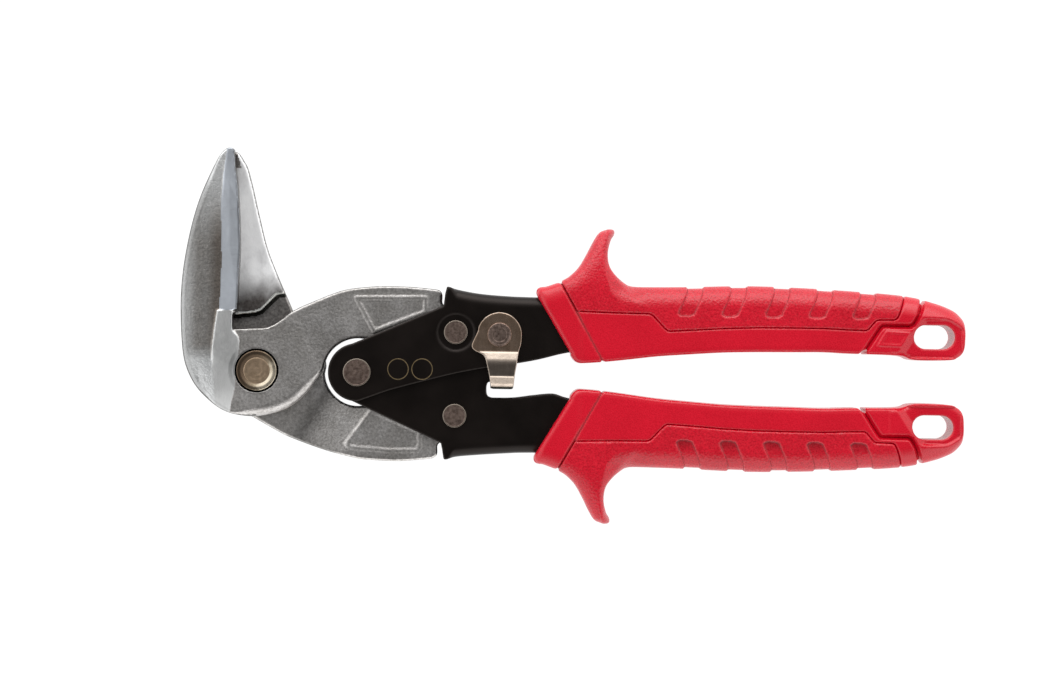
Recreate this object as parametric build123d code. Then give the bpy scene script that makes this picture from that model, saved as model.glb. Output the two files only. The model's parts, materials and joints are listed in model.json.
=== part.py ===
from build123d import *
import os
from math import cos, radians, sin

# Aviation snips with upright blades, closed and latched, lying on their side.
# The working frame has its origin on the jaw pivot. X runs from the blades to the grips,
# Y lies in the plane of the jaws, and Z is the pivot axis: the near side is +Z.
# place() then moves everything so that the origin is the bottom centre of the whole tool.

# ---- linkage: the four pivots, as (x, y) ----
JAW_PIVOT = (0.0, 0.0)
HANDLE_PIVOT = (30.2, 0.0)
LINK_X = 59.6
LINK_Y = 12.5
UPPER_LINK = (LINK_X, LINK_Y)
LOWER_LINK = (LINK_X, -LINK_Y)
LATCH_PIVOT = (72.7, 12.0)

# ---- stack of layers, as distances from the shear plane at Z = 0 ----
SHEAR_GAP = 0.05
JAW_T = 5.2
TAIL_HALF = 2.8
LOWER_FLANGE_IN = 3.3
SHEET = 1.6
UPPER_FLANGE_IN = 5.2
LOWER_FLANGE_OUT = LOWER_FLANGE_IN + SHEET
UPPER_FLANGE_OUT = UPPER_FLANGE_IN + SHEET
GRIP_HALF = 9.0

# ---- fits ----
RUNNING = 0.05
OPEN_PIVOT_CLEARANCE = 0.3
LAYER_GAP = 0.1

# ---- fasteners ----
BOLT_R = 4.0
BOLT_HEAD_R = 6.1
BOLT_HEAD_PROUD = 0.7
COUNTERBORE_R = 6.5
COUNTERBORE_DEPTH = 2.2
SOCKET_R = 1.4
SOCKET_DEPTH = 1.6
NUT_FLATS = 13.0
PIVOT_WASHER_R = 7.6
PIVOT_WASHER_T = 0.9
LINK_R = 2.6
LINK_HEAD_R = 3.6
LINK_HEAD_T = 1.1
TAIL_R = 7.6
HANDLE_RIVET_R = 3.2
HANDLE_HEAD_R = 4.2
HANDLE_HEAD_T = 1.0
SPACER_R = 5.0
LATCH_RIVET_R = 2.2
LATCH_HEAD_R = 3.6

# ---- handle channels ----
FRONT_R = 8.7
DIMPLE_R = 5.7
DIMPLE_DEPTH = 0.4
DIMPLE_BOSS_R = 7.2
WEB_FRONT_X = 57.2
CHANNEL_END_X = 176.0

# ---- windows in the jaws, round the handle pivot ----
WINDOW_R = 10.2
HIDDEN_JAW_R = 20.5

# ---- opening spring ----
WIRE_R = 0.8
COIL_R = 6.2
COIL_PITCH = 1.5
LEG_END_X = 46.0

# ---- latch ----
LATCH_T = 1.4
LATCH_DISC_R = 6.7
LATCH_STEP = 1.2
LATCH_LIP = 2.6
LATCH_TIP_Y = -4.2

# ---- grips ----
GRIP_EDGE = 0.9
HANG_SLOT_X = 202.6
HANG_SLOT_Y = 13.5
HANG_SLOT_LENGTH = 12.3
HANG_SLOT_WIDTH = 7.4
PAD_T = 0.4


def polar(centre, radius, angle):
    """The point at this radius and angle from a centre."""
    return (
        centre[0] + radius * cos(radians(angle)),
        centre[1] + radius * sin(radians(angle)),
    )


def arc(centre, radius, start, end):
    """A circular arc between two angles."""
    middle = (start + end) / 2
    return ThreePointArc(
        polar(centre, radius, start),
        polar(centre, radius, middle),
        polar(centre, radius, end),
    )


def slab(shape, low, high):
    """A flat face or sketch in the XY plane, made into a plate between two heights."""
    return Pos(0, 0, low) * extrude(shape, high - low)


def disc(centre, radius, low, high):
    """A round plate."""
    return slab(Pos(*centre) * Circle(radius), low, high)


def polygon(*points):
    """A flat face with straight sides."""
    return make_face(Polyline(*points, close=True))


def flipped(shape):
    """The same shape on the other side of the tool's centre line."""
    return mirror(shape, about=Plane.XZ)


def both_faces(shape):
    """A shape on the near side with its copy on the far side."""
    return shape + mirror(shape, about=Plane.XY)


# ---------------------------------------------------------------- jaws


def upper_jaw_outline():
    """Left-hand blade, round pivot boss and upper arm, down to the link tail."""
    window_start = polar(HANDLE_PIVOT, WINDOW_R, 178)
    window_end = polar(HANDLE_PIVOT, WINDOW_R, 90)
    edges = [
        Line((-7.4, 12.2), (-7.5, 16.6)),
        Line((-7.5, 16.6), (-6.1, 18.1)),
        Spline((-6.1, 18.1), (-5.7, 31.1), (-6.3, 51.7), (-7.9, 66.4)),
        Line((-7.9, 66.4), (-9.3, 66.8)),
        Spline((-9.3, 66.8), (-13.1, 62.8), (-17.4, 53.3), (-21.6, 37.8), (-23.3, 20), (-22.1, 3.3)),
        Spline((-22.1, 3.3), (-14.9, -8.9), (-2.1, -13.8), (12.9, -8.9), window_start),
        arc(HANDLE_PIVOT, WINDOW_R, 178, 90),
        Line(window_end, (57.0, 5.4)),
        Line((57.0, 5.4), (57.0, 19.6)),
        Line((57.0, 19.6), (55.2, 20.8)),
        Line((55.2, 20.8), (55.2, 24.0)),
        Line((55.2, 24.0), (53.9, 25.1)),
        Spline((53.9, 25.1), (40, 26.05), (25, 24.4), (12.9, 19.4), (4.3, 13.6)),
        Spline((4.3, 13.6), (0.1, 12.7), (-7.4, 12.2)),
    ]
    return make_face(edges) + Pos(*UPPER_LINK) * Circle(TAIL_R)


def upper_jaw():
    """Near jaw: its blade and boss lie above the shear plane, its arm is cranked onto it."""
    outline = upper_jaw_outline()
    blade_side = polygon((-40, 80), (17, 80), (17, 26), (24.5, 9), (24.5, -40), (-40, -40))
    arm_side = polygon((14.5, 60), (14.5, 22), (21, 9), (21, -5), (90, -5), (90, 60))
    jaw = slab(outline & blade_side, SHEAR_GAP, JAW_T)
    jaw += slab(outline & arm_side, -TAIL_HALF, TAIL_HALF)
    jaw -= disc(JAW_PIVOT, BOLT_R + RUNNING, -JAW_T, 2 * JAW_T)
    jaw -= disc(JAW_PIVOT, COUNTERBORE_R, JAW_T - COUNTERBORE_DEPTH, 2 * JAW_T)
    jaw -= disc(UPPER_LINK, LINK_R + RUNNING, -JAW_T, JAW_T)
    return jaw


def lower_jaw_outline():
    """Right-hand blade, the boss under the near jaw, and the lower arm."""
    window_start = polar(HANDLE_PIVOT, WINDOW_R, 182)
    window_end = polar(HANDLE_PIVOT, WINDOW_R, 270)
    boss_top = polar(JAW_PIVOT, HIDDEN_JAW_R, 60)
    boss_middle = polar(JAW_PIVOT, HIDDEN_JAW_R, 30)
    edges = [
        Line((-8.4, 65.9), (-6.9, 65.3)),
        Spline((-6.9, 65.3), (-4.1, 60.6), (-1.6, 50.6), (2.1, 36.7), (6.8, 25.6), boss_top),
        ThreePointArc(boss_top, boss_middle, window_start),
        arc(HANDLE_PIVOT, WINDOW_R, 182, 270),
        Line(window_end, (57.0, -5.4)),
        Line((57.0, -5.4), (57.0, -19.6)),
        Line((57.0, -19.6), (55.2, -20.8)),
        Line((55.2, -20.8), (55.2, -24.3)),
        Line((55.2, -24.3), (53.9, -25.4)),
        Spline((53.9, -25.4), (40, -26.5), (25, -24.85), (10, -20), (-2.5, -13.4)),
        Spline((-2.5, -13.4), (-12.5, -5.5), (-13.0, 6.0), (-9.6, 16)),
        Spline((-9.6, 16), (-8.3, 31), (-8.0, 50), (-8.4, 65.9)),
    ]
    return make_face(edges) + Pos(*LOWER_LINK) * Circle(TAIL_R)


def lower_jaw():
    """Far jaw: the mirror of the near one in build, with a polished blade face and a relief."""
    outline = lower_jaw_outline()
    blade_side = polygon((-40, 80), (28.5, 80), (28.5, -9.5), (19.5, -22), (19.5, -40), (-40, -40))
    arm_side = polygon((26, 0), (26, -9.5), (16.5, -22), (16.5, -40), (90, -40), (90, 0))
    jaw = slab(outline & blade_side, -JAW_T, -SHEAR_GAP)
    jaw += slab(outline & arm_side, -TAIL_HALF, TAIL_HALF)
    relief = polygon((-12, 16.4), (-3.8, 16.7), (2.9, 19.7), (7.3, 22.8), (14, 22), (10, 12), (-12, 12))
    jaw -= slab(relief, -1.4, JAW_T)
    jaw -= disc(JAW_PIVOT, BOLT_R + RUNNING, -2 * JAW_T, JAW_T)
    jaw -= disc(LOWER_LINK, LINK_R + OPEN_PIVOT_CLEARANCE, -JAW_T, JAW_T)
    return jaw


def pivot_bolt():
    """Flat-headed pivot bolt in the near jaw's counterbore, with a small centre socket."""
    seat = JAW_T - COUNTERBORE_DEPTH
    top = JAW_T + BOLT_HEAD_PROUD
    head = disc(JAW_PIVOT, BOLT_HEAD_R, seat, top)
    head = chamfer(head.edges().group_by(Axis.Z)[-1], 0.5)
    shank = disc(JAW_PIVOT, BOLT_R, -GRIP_HALF, seat)
    socket = disc(JAW_PIVOT, SOCKET_R, top - SOCKET_DEPTH, top + 1)
    return head + shank - socket


def pivot_washer():
    """Flat washer between the far jaw and the nut."""
    top = -JAW_T - LAYER_GAP
    ring = disc(JAW_PIVOT, PIVOT_WASHER_R, top - PIVOT_WASHER_T, top)
    return ring - disc(JAW_PIVOT, BOLT_R + RUNNING, -GRIP_HALF, 0)


def pivot_nut():
    """Thin hexagonal lock nut, flush with the underside of the grips."""
    top = -JAW_T - LAYER_GAP - PIVOT_WASHER_T
    hexagon = RegularPolygon(NUT_FLATS / 2, 6, major_radius=False)
    body = slab(hexagon, -GRIP_HALF, top)
    return body - disc(JAW_PIVOT, BOLT_R, -2 * GRIP_HALF, 0)


# ------------------------------------------------------------- handles


def upper_flange_outline():
    """Side of the upper channel: round nose on the handle pivot, then a widening strip."""
    nose_top = polar(HANDLE_PIVOT, FRONT_R, 101)
    nose_bottom = polar(HANDLE_PIVOT, FRONT_R, 272)
    lower_edge = Spline(nose_bottom, (50, -2.4), (68.9, 2.0), (92.9, 6.9), (104, 8.6))
    edges = [
        ThreePointArc(nose_top, polar(HANDLE_PIVOT, FRONT_R, 186), nose_bottom),
        lower_edge,
        Line((104, 8.6), (CHANNEL_END_X, 11.4)),
        Line((CHANNEL_END_X, 11.4), (CHANNEL_END_X, 22.4)),
        Spline((CHANNEL_END_X, 22.4), (120, 22.9), (83.8, 23.4), (66.5, 24.2), (56.9, 26.1)),
        Line((56.9, 26.1), (55.9, 20.6)),
        Line((55.9, 20.6), nose_top),
    ]
    return make_face(edges)


def lower_flange_outline():
    """Side of the lower channel, with the hooked tooth that the latch reaches round."""
    nose_top = polar(HANDLE_PIVOT, FRONT_R, 88)
    nose_bottom = polar(HANDLE_PIVOT, FRONT_R, 259)
    tooth_face = 14.5
    edges = [
        ThreePointArc(nose_top, polar(HANDLE_PIVOT, FRONT_R, 174), nose_bottom),
        Line(nose_bottom, (55.7, -20.9)),
        Line((55.7, -20.9), (56.6, -25.7)),
        Spline((56.6, -25.7), (66.5, -24.3), (83.8, -23.3), (120, -22.9), (CHANNEL_END_X, -22.4)),
        Line((CHANNEL_END_X, -22.4), (CHANNEL_END_X, -11.4)),
        Line((CHANNEL_END_X, -11.4), (104, -8.6)),
        Spline((104, -8.6), (96, -7.2), (88.8, -5.7), (80, -6.5), (70.4, -7.0)),
        Line((70.4, -7.0), (69.1, -6.2)),
        Line((69.1, -6.2), polar(LATCH_PIVOT, tooth_face, 256)),
        arc(LATCH_PIVOT, tooth_face, 256, 273),
        Line(polar(LATCH_PIVOT, tooth_face, 273), (74.0, -0.6)),
        Line((74.0, -0.6), (66.8, -0.6)),
        Line((66.8, -0.6), (65.2, -1.7)),
        Spline((65.2, -1.7), (50, 2.4), nose_top),
    ]
    return make_face(edges)


def web_region(sign):
    """The part of the plan that the folded back of a channel takes up."""
    return polygon(
        (WEB_FRONT_X, sign * 40),
        (WEB_FRONT_X, sign * 24.2),
        (66.5, sign * (24.2 - SHEET)),
        (83.8, sign * (23.4 - SHEET)),
        (120, sign * (22.9 - SHEET)),
        (200, sign * (22.2 - SHEET)),
        (200, sign * 40),
    )


def upper_handle():
    """Outer pressed channel, dimpled inwards round the upper link rivet."""
    outline = upper_flange_outline()
    flange = slab(outline, UPPER_FLANGE_IN, UPPER_FLANGE_OUT)
    flange += disc(UPPER_LINK, DIMPLE_BOSS_R, UPPER_FLANGE_IN - DIMPLE_DEPTH, UPPER_FLANGE_IN)
    flange -= disc(UPPER_LINK, DIMPLE_R, UPPER_FLANGE_OUT - DIMPLE_DEPTH, GRIP_HALF)
    handle = both_faces(flange)
    handle += slab(outline & web_region(1), -UPPER_FLANGE_OUT, UPPER_FLANGE_OUT)
    handle -= disc(UPPER_LINK, LINK_R, -GRIP_HALF, GRIP_HALF)
    handle -= disc(HANDLE_PIVOT, HANDLE_RIVET_R, -GRIP_HALF, GRIP_HALF)
    handle -= disc(LATCH_PIVOT, LATCH_RIVET_R, 0, GRIP_HALF)
    return handle


def lower_handle():
    """Inner pressed channel, whose sides nest between those of the upper one."""
    outline = lower_flange_outline()
    handle = both_faces(slab(outline, LOWER_FLANGE_IN, LOWER_FLANGE_OUT))
    handle += slab(outline & web_region(-1), -LOWER_FLANGE_OUT, LOWER_FLANGE_OUT)
    handle -= disc(LOWER_LINK, LINK_R, -GRIP_HALF, GRIP_HALF)
    handle -= disc(HANDLE_PIVOT, HANDLE_RIVET_R + RUNNING, -GRIP_HALF, GRIP_HALF)
    return handle


def rivet(centre, shank_r, head_r, face, head_t):
    """Solid rivet with a low head on each outer face."""
    shank = disc(centre, shank_r, -face, face)
    head = disc(centre, head_r, face, face + head_t)
    head = chamfer(head.edges().group_by(Axis.Z)[-1], 0.35)
    return shank + both_faces(head)


def handle_rivet():
    """Rivet that the two handles turn on."""
    return rivet(HANDLE_PIVOT, HANDLE_RIVET_R, HANDLE_HEAD_R, UPPER_FLANGE_OUT, HANDLE_HEAD_T)


def handle_spacer():
    """Tube that keeps the lower handle's sides apart round the handle rivet."""
    tube = disc(HANDLE_PIVOT, SPACER_R, -LOWER_FLANGE_IN, LOWER_FLANGE_IN)
    return tube - disc(HANDLE_PIVOT, HANDLE_RIVET_R + RUNNING, -JAW_T, JAW_T)


def upper_link_rivet():
    """Rivet from the upper handle through the near jaw's tail, with heads in the dimples."""
    face = UPPER_FLANGE_OUT - DIMPLE_DEPTH
    return rivet(UPPER_LINK, LINK_R, LINK_HEAD_R, face, LINK_HEAD_T)


def lower_link_rivet():
    """Rivet from the lower handle through the far jaw's tail."""
    return rivet(LOWER_LINK, LINK_R, LINK_HEAD_R, LOWER_FLANGE_OUT, LINK_HEAD_T)


def link_washers(centre, flange_in):
    """The pair of washers that keep a jaw's tail in the middle of its channel."""
    ring = disc(centre, LINK_HEAD_R + 1.6, TAIL_HALF + LAYER_GAP, flange_in - LAYER_GAP)
    return both_faces(ring - disc(centre, LINK_R, 0, GRIP_HALF))


def opening_spring():
    """Torsion spring round the spacer, with a leg along each handle."""
    coil = Pos(*HANDLE_PIVOT) * Torus(COIL_R, WIRE_R)
    spring = coil
    for height in (-COIL_PITCH, COIL_PITCH):
        spring += Pos(0, 0, height) * coil
    for side, height in ((1, COIL_PITCH), (-1, -COIL_PITCH)):
        start = (HANDLE_PIVOT[0], side * COIL_R, height)
        leg = Plane(origin=start, z_dir=(1, 0, 0)) * Circle(WIRE_R)
        spring += extrude(leg, LEG_END_X - HANDLE_PIVOT[0])
    return spring


# --------------------------------------------------------------- latch


def latch_outline():
    """Plan of the latch: a disc on its rivet, flaring into the thumb tab."""
    edges = [
        Line((66.2, 12.0), (64.5, 8.3)),
        Spline((64.5, 8.3), (66.4, 6.6), (68.7, 4.6), (69.8, -0.4), (70.4, LATCH_TIP_Y)),
        Line((70.4, LATCH_TIP_Y), (77.2, LATCH_TIP_Y)),
        Spline((77.2, LATCH_TIP_Y), (78.0, 3.1), (79.2, 9.0), (79.3, 12.0)),
        Line((79.3, 12.0), (66.2, 12.0)),
    ]
    return make_face(edges) + Pos(*LATCH_PIVOT) * Circle(LATCH_DISC_R)


def latch_side():
    """Side view of the bent latch sheet, as (y, z) above the handle's face."""
    low = UPPER_FLANGE_OUT + LAYER_GAP
    under = [
        (22.0, low),
        (6.9, low),
        (3.8, low + LATCH_STEP),
        (-0.2, low + LATCH_STEP),
        (-3.0, low + LATCH_STEP + 1.3),
        (LATCH_TIP_Y, low + LATCH_STEP + LATCH_LIP),
    ]
    over = [(y, z + LATCH_T) for y, z in reversed(under)]
    side = [(0.0, y, z) for y, z in under + over]
    return make_face(Polyline(*side, close=True))


def latch():
    """Bent sheet latch with a finger that reaches down over the lower handle's tooth."""
    sheet = extrude(Pos(60, 0, 0) * latch_side(), 25, dir=(1, 0, 0))
    body = sheet & slab(latch_outline(), 0, 4 * GRIP_HALF)
    finger_top = UPPER_FLANGE_OUT + LAYER_GAP + LATCH_STEP + LATCH_T
    finger = slab(
        polygon((70.2, -4.1), (71.8, -4.1), (71.8, -2.7), (70.2, -2.7)),
        LOWER_FLANGE_OUT + 0.3,
        finger_top,
    )
    return body + finger - disc(LATCH_PIVOT, LATCH_RIVET_R + RUNNING, 0, 2 * GRIP_HALF)


def latch_rivet():
    """Shouldered rivet that the latch turns on, peened inside the upper handle."""
    latch_top = UPPER_FLANGE_OUT + LAYER_GAP + LATCH_T
    tail_top = UPPER_FLANGE_IN - LAYER_GAP - PIVOT_WASHER_T
    head = disc(LATCH_PIVOT, LATCH_HEAD_R, latch_top + LAYER_GAP, latch_top + 1.1)
    head = chamfer(head.edges().group_by(Axis.Z)[-1], 0.35)
    shank = disc(LATCH_PIVOT, LATCH_RIVET_R, tail_top, latch_top + LAYER_GAP)
    tail = disc(LATCH_PIVOT, LATCH_HEAD_R - 0.6, tail_top - 0.8, tail_top)
    return head + shank + tail


def latch_washer():
    """Friction washer under the peened end of the latch rivet."""
    top = UPPER_FLANGE_IN
    ring = disc(LATCH_PIVOT, LATCH_HEAD_R + 1.0, top - PIVOT_WASHER_T, top)
    return ring - disc(LATCH_PIVOT, LATCH_RIVET_R, 0, GRIP_HALF)


# --------------------------------------------------------------- grips


def grip_outline():
    """Plan of the upper grip: slanted collar, thumb horn, body and rounded end."""
    inner_edge = Spline((97.7, 3.9), (110, 5.0), (125, 6.7), (145, 8.0), (170, 8.4), (192, 7.8))
    outer_edge = Spline((199, 24.7), (189, 26.2), (163, 27.6), (140, 27.9), (114, 27.1))
    horn = [
        (114, 27.1),
        (108.6, 28.9),
        (105.2, 33.2),
        (104.9, 38.9),
        (106.5, 43.0),
        (104.6, 44.4),
        (100.9, 41.6),
        (97.6, 35.4),
        (93.2, 29.8),
        (88.6, 27.4),
        (84.5, 26.4),
    ]
    edges = [
        Line((83.9, 23.6), (94.1, 6.6)),
        ThreePointArc((94.1, 6.6), (95.2, 4.6), (97.7, 3.9)),
        inner_edge,
        Spline((192, 7.8), (196, 6.7), (202, 6.4), (208, 6.9)),
        Spline((208, 6.9), (211.4, 9.6), (211.9, 15.0), (209.0, 21.3), (199, 24.7)),
        outer_edge,
        Spline(*horn),
        ThreePointArc((84.5, 26.4), (83.4, 25.2), (83.9, 23.6)),
    ]
    return make_face(edges)


def hang_slot():
    """Obround hole through the end of a grip."""
    slot = Pos(HANG_SLOT_X, HANG_SLOT_Y) * SlotOverall(HANG_SLOT_LENGTH, HANG_SLOT_WIDTH)
    return slab(slot, -2 * GRIP_HALF, 2 * GRIP_HALF)


def sleeve_region():
    """Plan of the textured outer cover, from the collar to the end cap."""
    return polygon(
        (80, 50), (90.9, 28.0), (95.8, 19.4), (117.7, 19.0), (122.3, 14.4), (140, 15.0),
        (182.4, 15.2), (185.2, 18.2), (190.8, 18.4), (192, 20.5), (193.8, 25), (195, 50),
    )  # fmt: skip


def cap_region():
    """Plan of the end cap round the hang slot."""
    return polygon(
        (180.3, 0), (180.3, 7.6), (186.2, 15.8), (187.4, 16.6), (195, 16.6),
        (197.5, 19.8), (199.4, 26), (199.4, 40), (230, 40), (230, 0),
    )  # fmt: skip


def grip_blank():
    """The whole upper grip as one block with softened edges."""
    block = slab(grip_outline(), -GRIP_HALF, GRIP_HALF)
    rims = block.edges().filter_by(lambda e: abs(abs(e.center().Z) - GRIP_HALF) < 0.01)
    return fillet(rims, GRIP_EDGE)


def end_cap(blank):
    """End of the grip, with the hang slot."""
    return (blank & slab(cap_region(), -GRIP_HALF, GRIP_HALF)) - hang_slot()


def grip_sleeve(blank, flange, flange_out):
    """Soft textured cover over the channel's back, with the thumb horn."""
    cover = blank & slab(sleeve_region(), -GRIP_HALF, GRIP_HALF)
    return cover - slab(flange, -flange_out, flange_out)


def grip_core(blank, sleeve, channel):
    """Hard body of the grip: collar, inner face and the filling inside the channel."""
    return blank - slab(cap_region(), -GRIP_HALF, GRIP_HALF) - sleeve - channel


def lozenge_pad():
    """Low raised lozenge on the upper end cap."""
    face = polygon((185.6, 10.6), (188.2, 15.0), (195.0, 14.7), (192.6, 10.4))
    return slab(face, GRIP_HALF, GRIP_HALF + PAD_T)


# ------------------------------------------------------------ assembly


def all_parts():
    """Every piece in the working frame, by name."""
    blank = grip_blank()
    upper = upper_handle()
    lower = lower_handle()
    upper_sleeve = grip_sleeve(blank, upper_flange_outline(), UPPER_FLANGE_OUT)
    lower_sleeve = grip_sleeve(blank, flipped(lower_flange_outline()), LOWER_FLANGE_OUT)
    lower_core = grip_core(blank, lower_sleeve, flipped(lower))
    cap = end_cap(blank)
    boss_in = UPPER_FLANGE_IN - DIMPLE_DEPTH
    return {
        "upper_jaw": upper_jaw(),
        "lower_jaw": lower_jaw(),
        "pivot_bolt": pivot_bolt(),
        "pivot_washer": pivot_washer(),
        "pivot_nut": pivot_nut(),
        "upper_handle": upper,
        "lower_handle": lower,
        "handle_rivet": handle_rivet(),
        "handle_spacer": handle_spacer(),
        "upper_link_rivet": upper_link_rivet(),
        "lower_link_rivet": lower_link_rivet(),
        "upper_link_washers": link_washers(UPPER_LINK, boss_in),
        "lower_link_washers": link_washers(LOWER_LINK, LOWER_FLANGE_IN + LAYER_GAP),
        "opening_spring": opening_spring(),
        "latch": latch(),
        "latch_rivet": latch_rivet(),
        "latch_washer": latch_washer(),
        "upper_grip_core": grip_core(blank, upper_sleeve, upper),
        "upper_grip_sleeve": upper_sleeve,
        "upper_end_cap": cap + lozenge_pad(),
        "lower_grip_core": flipped(lower_core),
        "lower_grip_sleeve": flipped(lower_sleeve),
        "lower_end_cap": flipped(cap),
    }


def place(parts):
    """Move every piece so that the tool's box has its bottom centre at the origin."""
    boxes = [piece.bounding_box() for piece in parts.values()]
    low = [min(tuple(box.min)[i] for box in boxes) for i in range(3)]
    high = [max(tuple(box.max)[i] for box in boxes) for i in range(3)]
    shift = Pos(-(low[0] + high[0]) / 2, -(low[1] + high[1]) / 2, -low[2])
    return shift, {name: shift * piece for name, piece in parts.items()}


def main():
    """Write one STEP file for each piece."""
    os.makedirs("parts", exist_ok=True)
    shift, parts = place(all_parts())
    print("jaw pivot at", tuple(shift.position))
    for name, piece in parts.items():
        export_step(piece, f"parts/{name}.step")


main()
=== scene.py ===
import bmesh
import bpy
import json
import math
import numpy as np
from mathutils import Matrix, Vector


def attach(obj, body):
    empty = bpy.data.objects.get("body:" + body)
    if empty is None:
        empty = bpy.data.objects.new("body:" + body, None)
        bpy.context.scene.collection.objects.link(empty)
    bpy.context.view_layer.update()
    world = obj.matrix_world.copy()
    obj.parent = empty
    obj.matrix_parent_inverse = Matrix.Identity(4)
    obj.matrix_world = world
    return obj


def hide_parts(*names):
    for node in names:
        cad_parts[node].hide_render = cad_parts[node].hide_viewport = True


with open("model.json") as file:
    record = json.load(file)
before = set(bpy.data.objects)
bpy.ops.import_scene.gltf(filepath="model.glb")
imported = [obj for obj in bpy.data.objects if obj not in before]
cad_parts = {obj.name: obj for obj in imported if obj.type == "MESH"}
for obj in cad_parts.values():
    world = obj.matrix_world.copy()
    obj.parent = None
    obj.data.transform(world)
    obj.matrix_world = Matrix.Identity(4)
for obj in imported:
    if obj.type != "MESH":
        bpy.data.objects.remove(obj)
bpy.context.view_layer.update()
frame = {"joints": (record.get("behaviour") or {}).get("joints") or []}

# Lengths below are millimetres in the tool's own frame: origin on the jaw pivot, X from the
# blades to the grips, Z along the pivot with the shear plane at 0. place() takes them to the row frame.
MM = 0.001
JOINTS = {joint["name"]: joint for joint in frame["joints"]}
ORIGIN = np.array(JOINTS["jaw_pivot"]["pos_m"])


def pivot_of(joint):
    """A joint's axis as (x, y) in the tool's frame."""
    x, y, _ = (np.array(JOINTS[joint]["pos_m"]) - ORIGIN) / MM
    return float(x), float(y)


JAW_PIVOT = (0.0, 0.0)
HANDLE_PIVOT = pivot_of("handles_open")
UPPER_LINK = pivot_of("upper_link")
LOWER_LINK = (UPPER_LINK[0], -UPPER_LINK[1])
LATCH_PIVOT = pivot_of("latch_swing")

# Layers, as distances from the shear plane.
SHEAR_GAP = 0.05
TAIL_HALF = 2.8
LOWER_IN, LOWER_OUT = 3.3, 4.9
UPPER_IN, UPPER_OUT = 5.2, 6.8
COINING = 0.4
LATCH_T = 1.4
LATCH_BOTTOM = UPPER_OUT + 0.1
JAW_T = 5.2
GRIP_HALF = 9.0
FLOOR_Z = -9.05

# The camera hangs this high over this point of the tool.
CAMERA_ABOVE = (80.37, 7.55)
CAMERA_HEIGHT = 884.0

# Radii round the pivots, as (shank, head) for a rivet.
RUNNING = 0.05  # clearance of a bore round its rivet
HANDLE_RIVET = (3.2, 4.2)
LINK_RIVET = (2.6, 3.6)
LATCH_RIVET_R = 2.2
BOLT_BORE_R = 4.05
COUNTERBORE_R = 6.5
WINDOW_R = 10.2
NOSE_R = 8.7
TAIL_R = 7.6

# Mesh grid steps.
FINE = 0.28
MEDIUM = 0.34
COARSE = 0.4


# ------------------------------------------------------------ curves


def smooth(points, steps=7):
    """Points along a smooth open curve through the given ones (Catmull-Rom)."""
    p = np.array(points, float)
    p = np.vstack([2 * p[0] - p[1], p, 2 * p[-1] - p[-2]])
    t = np.linspace(0, 1, steps, endpoint=False)[:, None]
    runs = []
    for a, b, c, d in zip(p, p[1:], p[2:], p[3:]):
        runs.append(
            0.5 * (2 * b + (c - a) * t + (2 * a - 5 * b + 4 * c - d) * t**2 + (3 * b - a - 3 * c + d) * t**3)
        )
    return np.vstack([*runs, p[-2:-1]])


def arc(centre, radius, start, end, steps=24):
    """Points along a circle between two angles in degrees."""
    a = np.radians(np.linspace(start, end, steps))
    return np.stack([centre[0] + radius * np.cos(a), centre[1] + radius * np.sin(a)], 1)


def outline(*runs):
    """A closed outline from runs of points."""
    return np.vstack([np.array(run, float) for run in runs])


# ------------------------------------------------------ distance maps


def segment_distance(a, b, x, y):
    """Squared distance from each map point to one segment."""
    dx, dy = b - a
    t = np.clip(((x - a[0]) * dx + (y - a[1]) * dy) / max(dx * dx + dy * dy, 1e-12), 0, 1)
    return (x - a[0] - t * dx) ** 2 + (y - a[1] - t * dy) ** 2


def line_map(points, x, y):
    """Distance to an open line."""
    p = np.array(points, float)
    best = np.full(x.shape, 1e12)
    for a, b in zip(p, p[1:]):
        best = np.minimum(best, segment_distance(a, b, x, y))
    return np.sqrt(best)


def inside_map(points, x, y):
    """Signed distance to a closed outline, negative inside."""
    p = np.array(points, float)
    best = np.full(x.shape, 1e12)
    inside = np.zeros(x.shape, bool)
    for a, b in zip(p, np.roll(p, -1, 0)):
        best = np.minimum(best, segment_distance(a, b, x, y))
        if a[1] != b[1]:
            crosses = (a[1] > y) != (b[1] > y)
            inside ^= crosses & (x < a[0] + (y - a[1]) * (b[0] - a[0]) / (b[1] - a[1]))
    return np.where(inside, -1, 1) * np.sqrt(best)


def side_map(a, b, x, y):
    """Signed distance to the straight line through a and b, positive on its right."""
    dx, dy = b[0] - a[0], b[1] - a[1]
    return ((x - a[0]) * dy - (y - a[1]) * dx) / math.hypot(dx, dy)


def disc_map(centre, radius, x, y):
    """Signed distance to a circle, negative inside."""
    return np.hypot(x - centre[0], y - centre[1]) - radius


def ramp(low, high, value):
    """0 below low, 1 above high, with a smooth rise between."""
    t = np.clip((value - low) / (high - low), 0, 1)
    return t * t * (3 - 2 * t)


def slope(low, high, value):
    """0 below low, 1 above high, straight between."""
    return np.clip((value - low) / (high - low), 0, 1)


def between(a, b, part):
    """a where part is 0, b where it is 1."""
    return a + (b - a) * part


def rounded(a, b, radius):
    """Where both fields are negative, with the edge between them rounded."""
    over = np.hypot(np.maximum(a + radius, 0), np.maximum(b + radius, 0))
    return np.minimum(np.maximum(a, b), -radius) + over


# ------------------------------------------------------------- meshes


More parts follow.
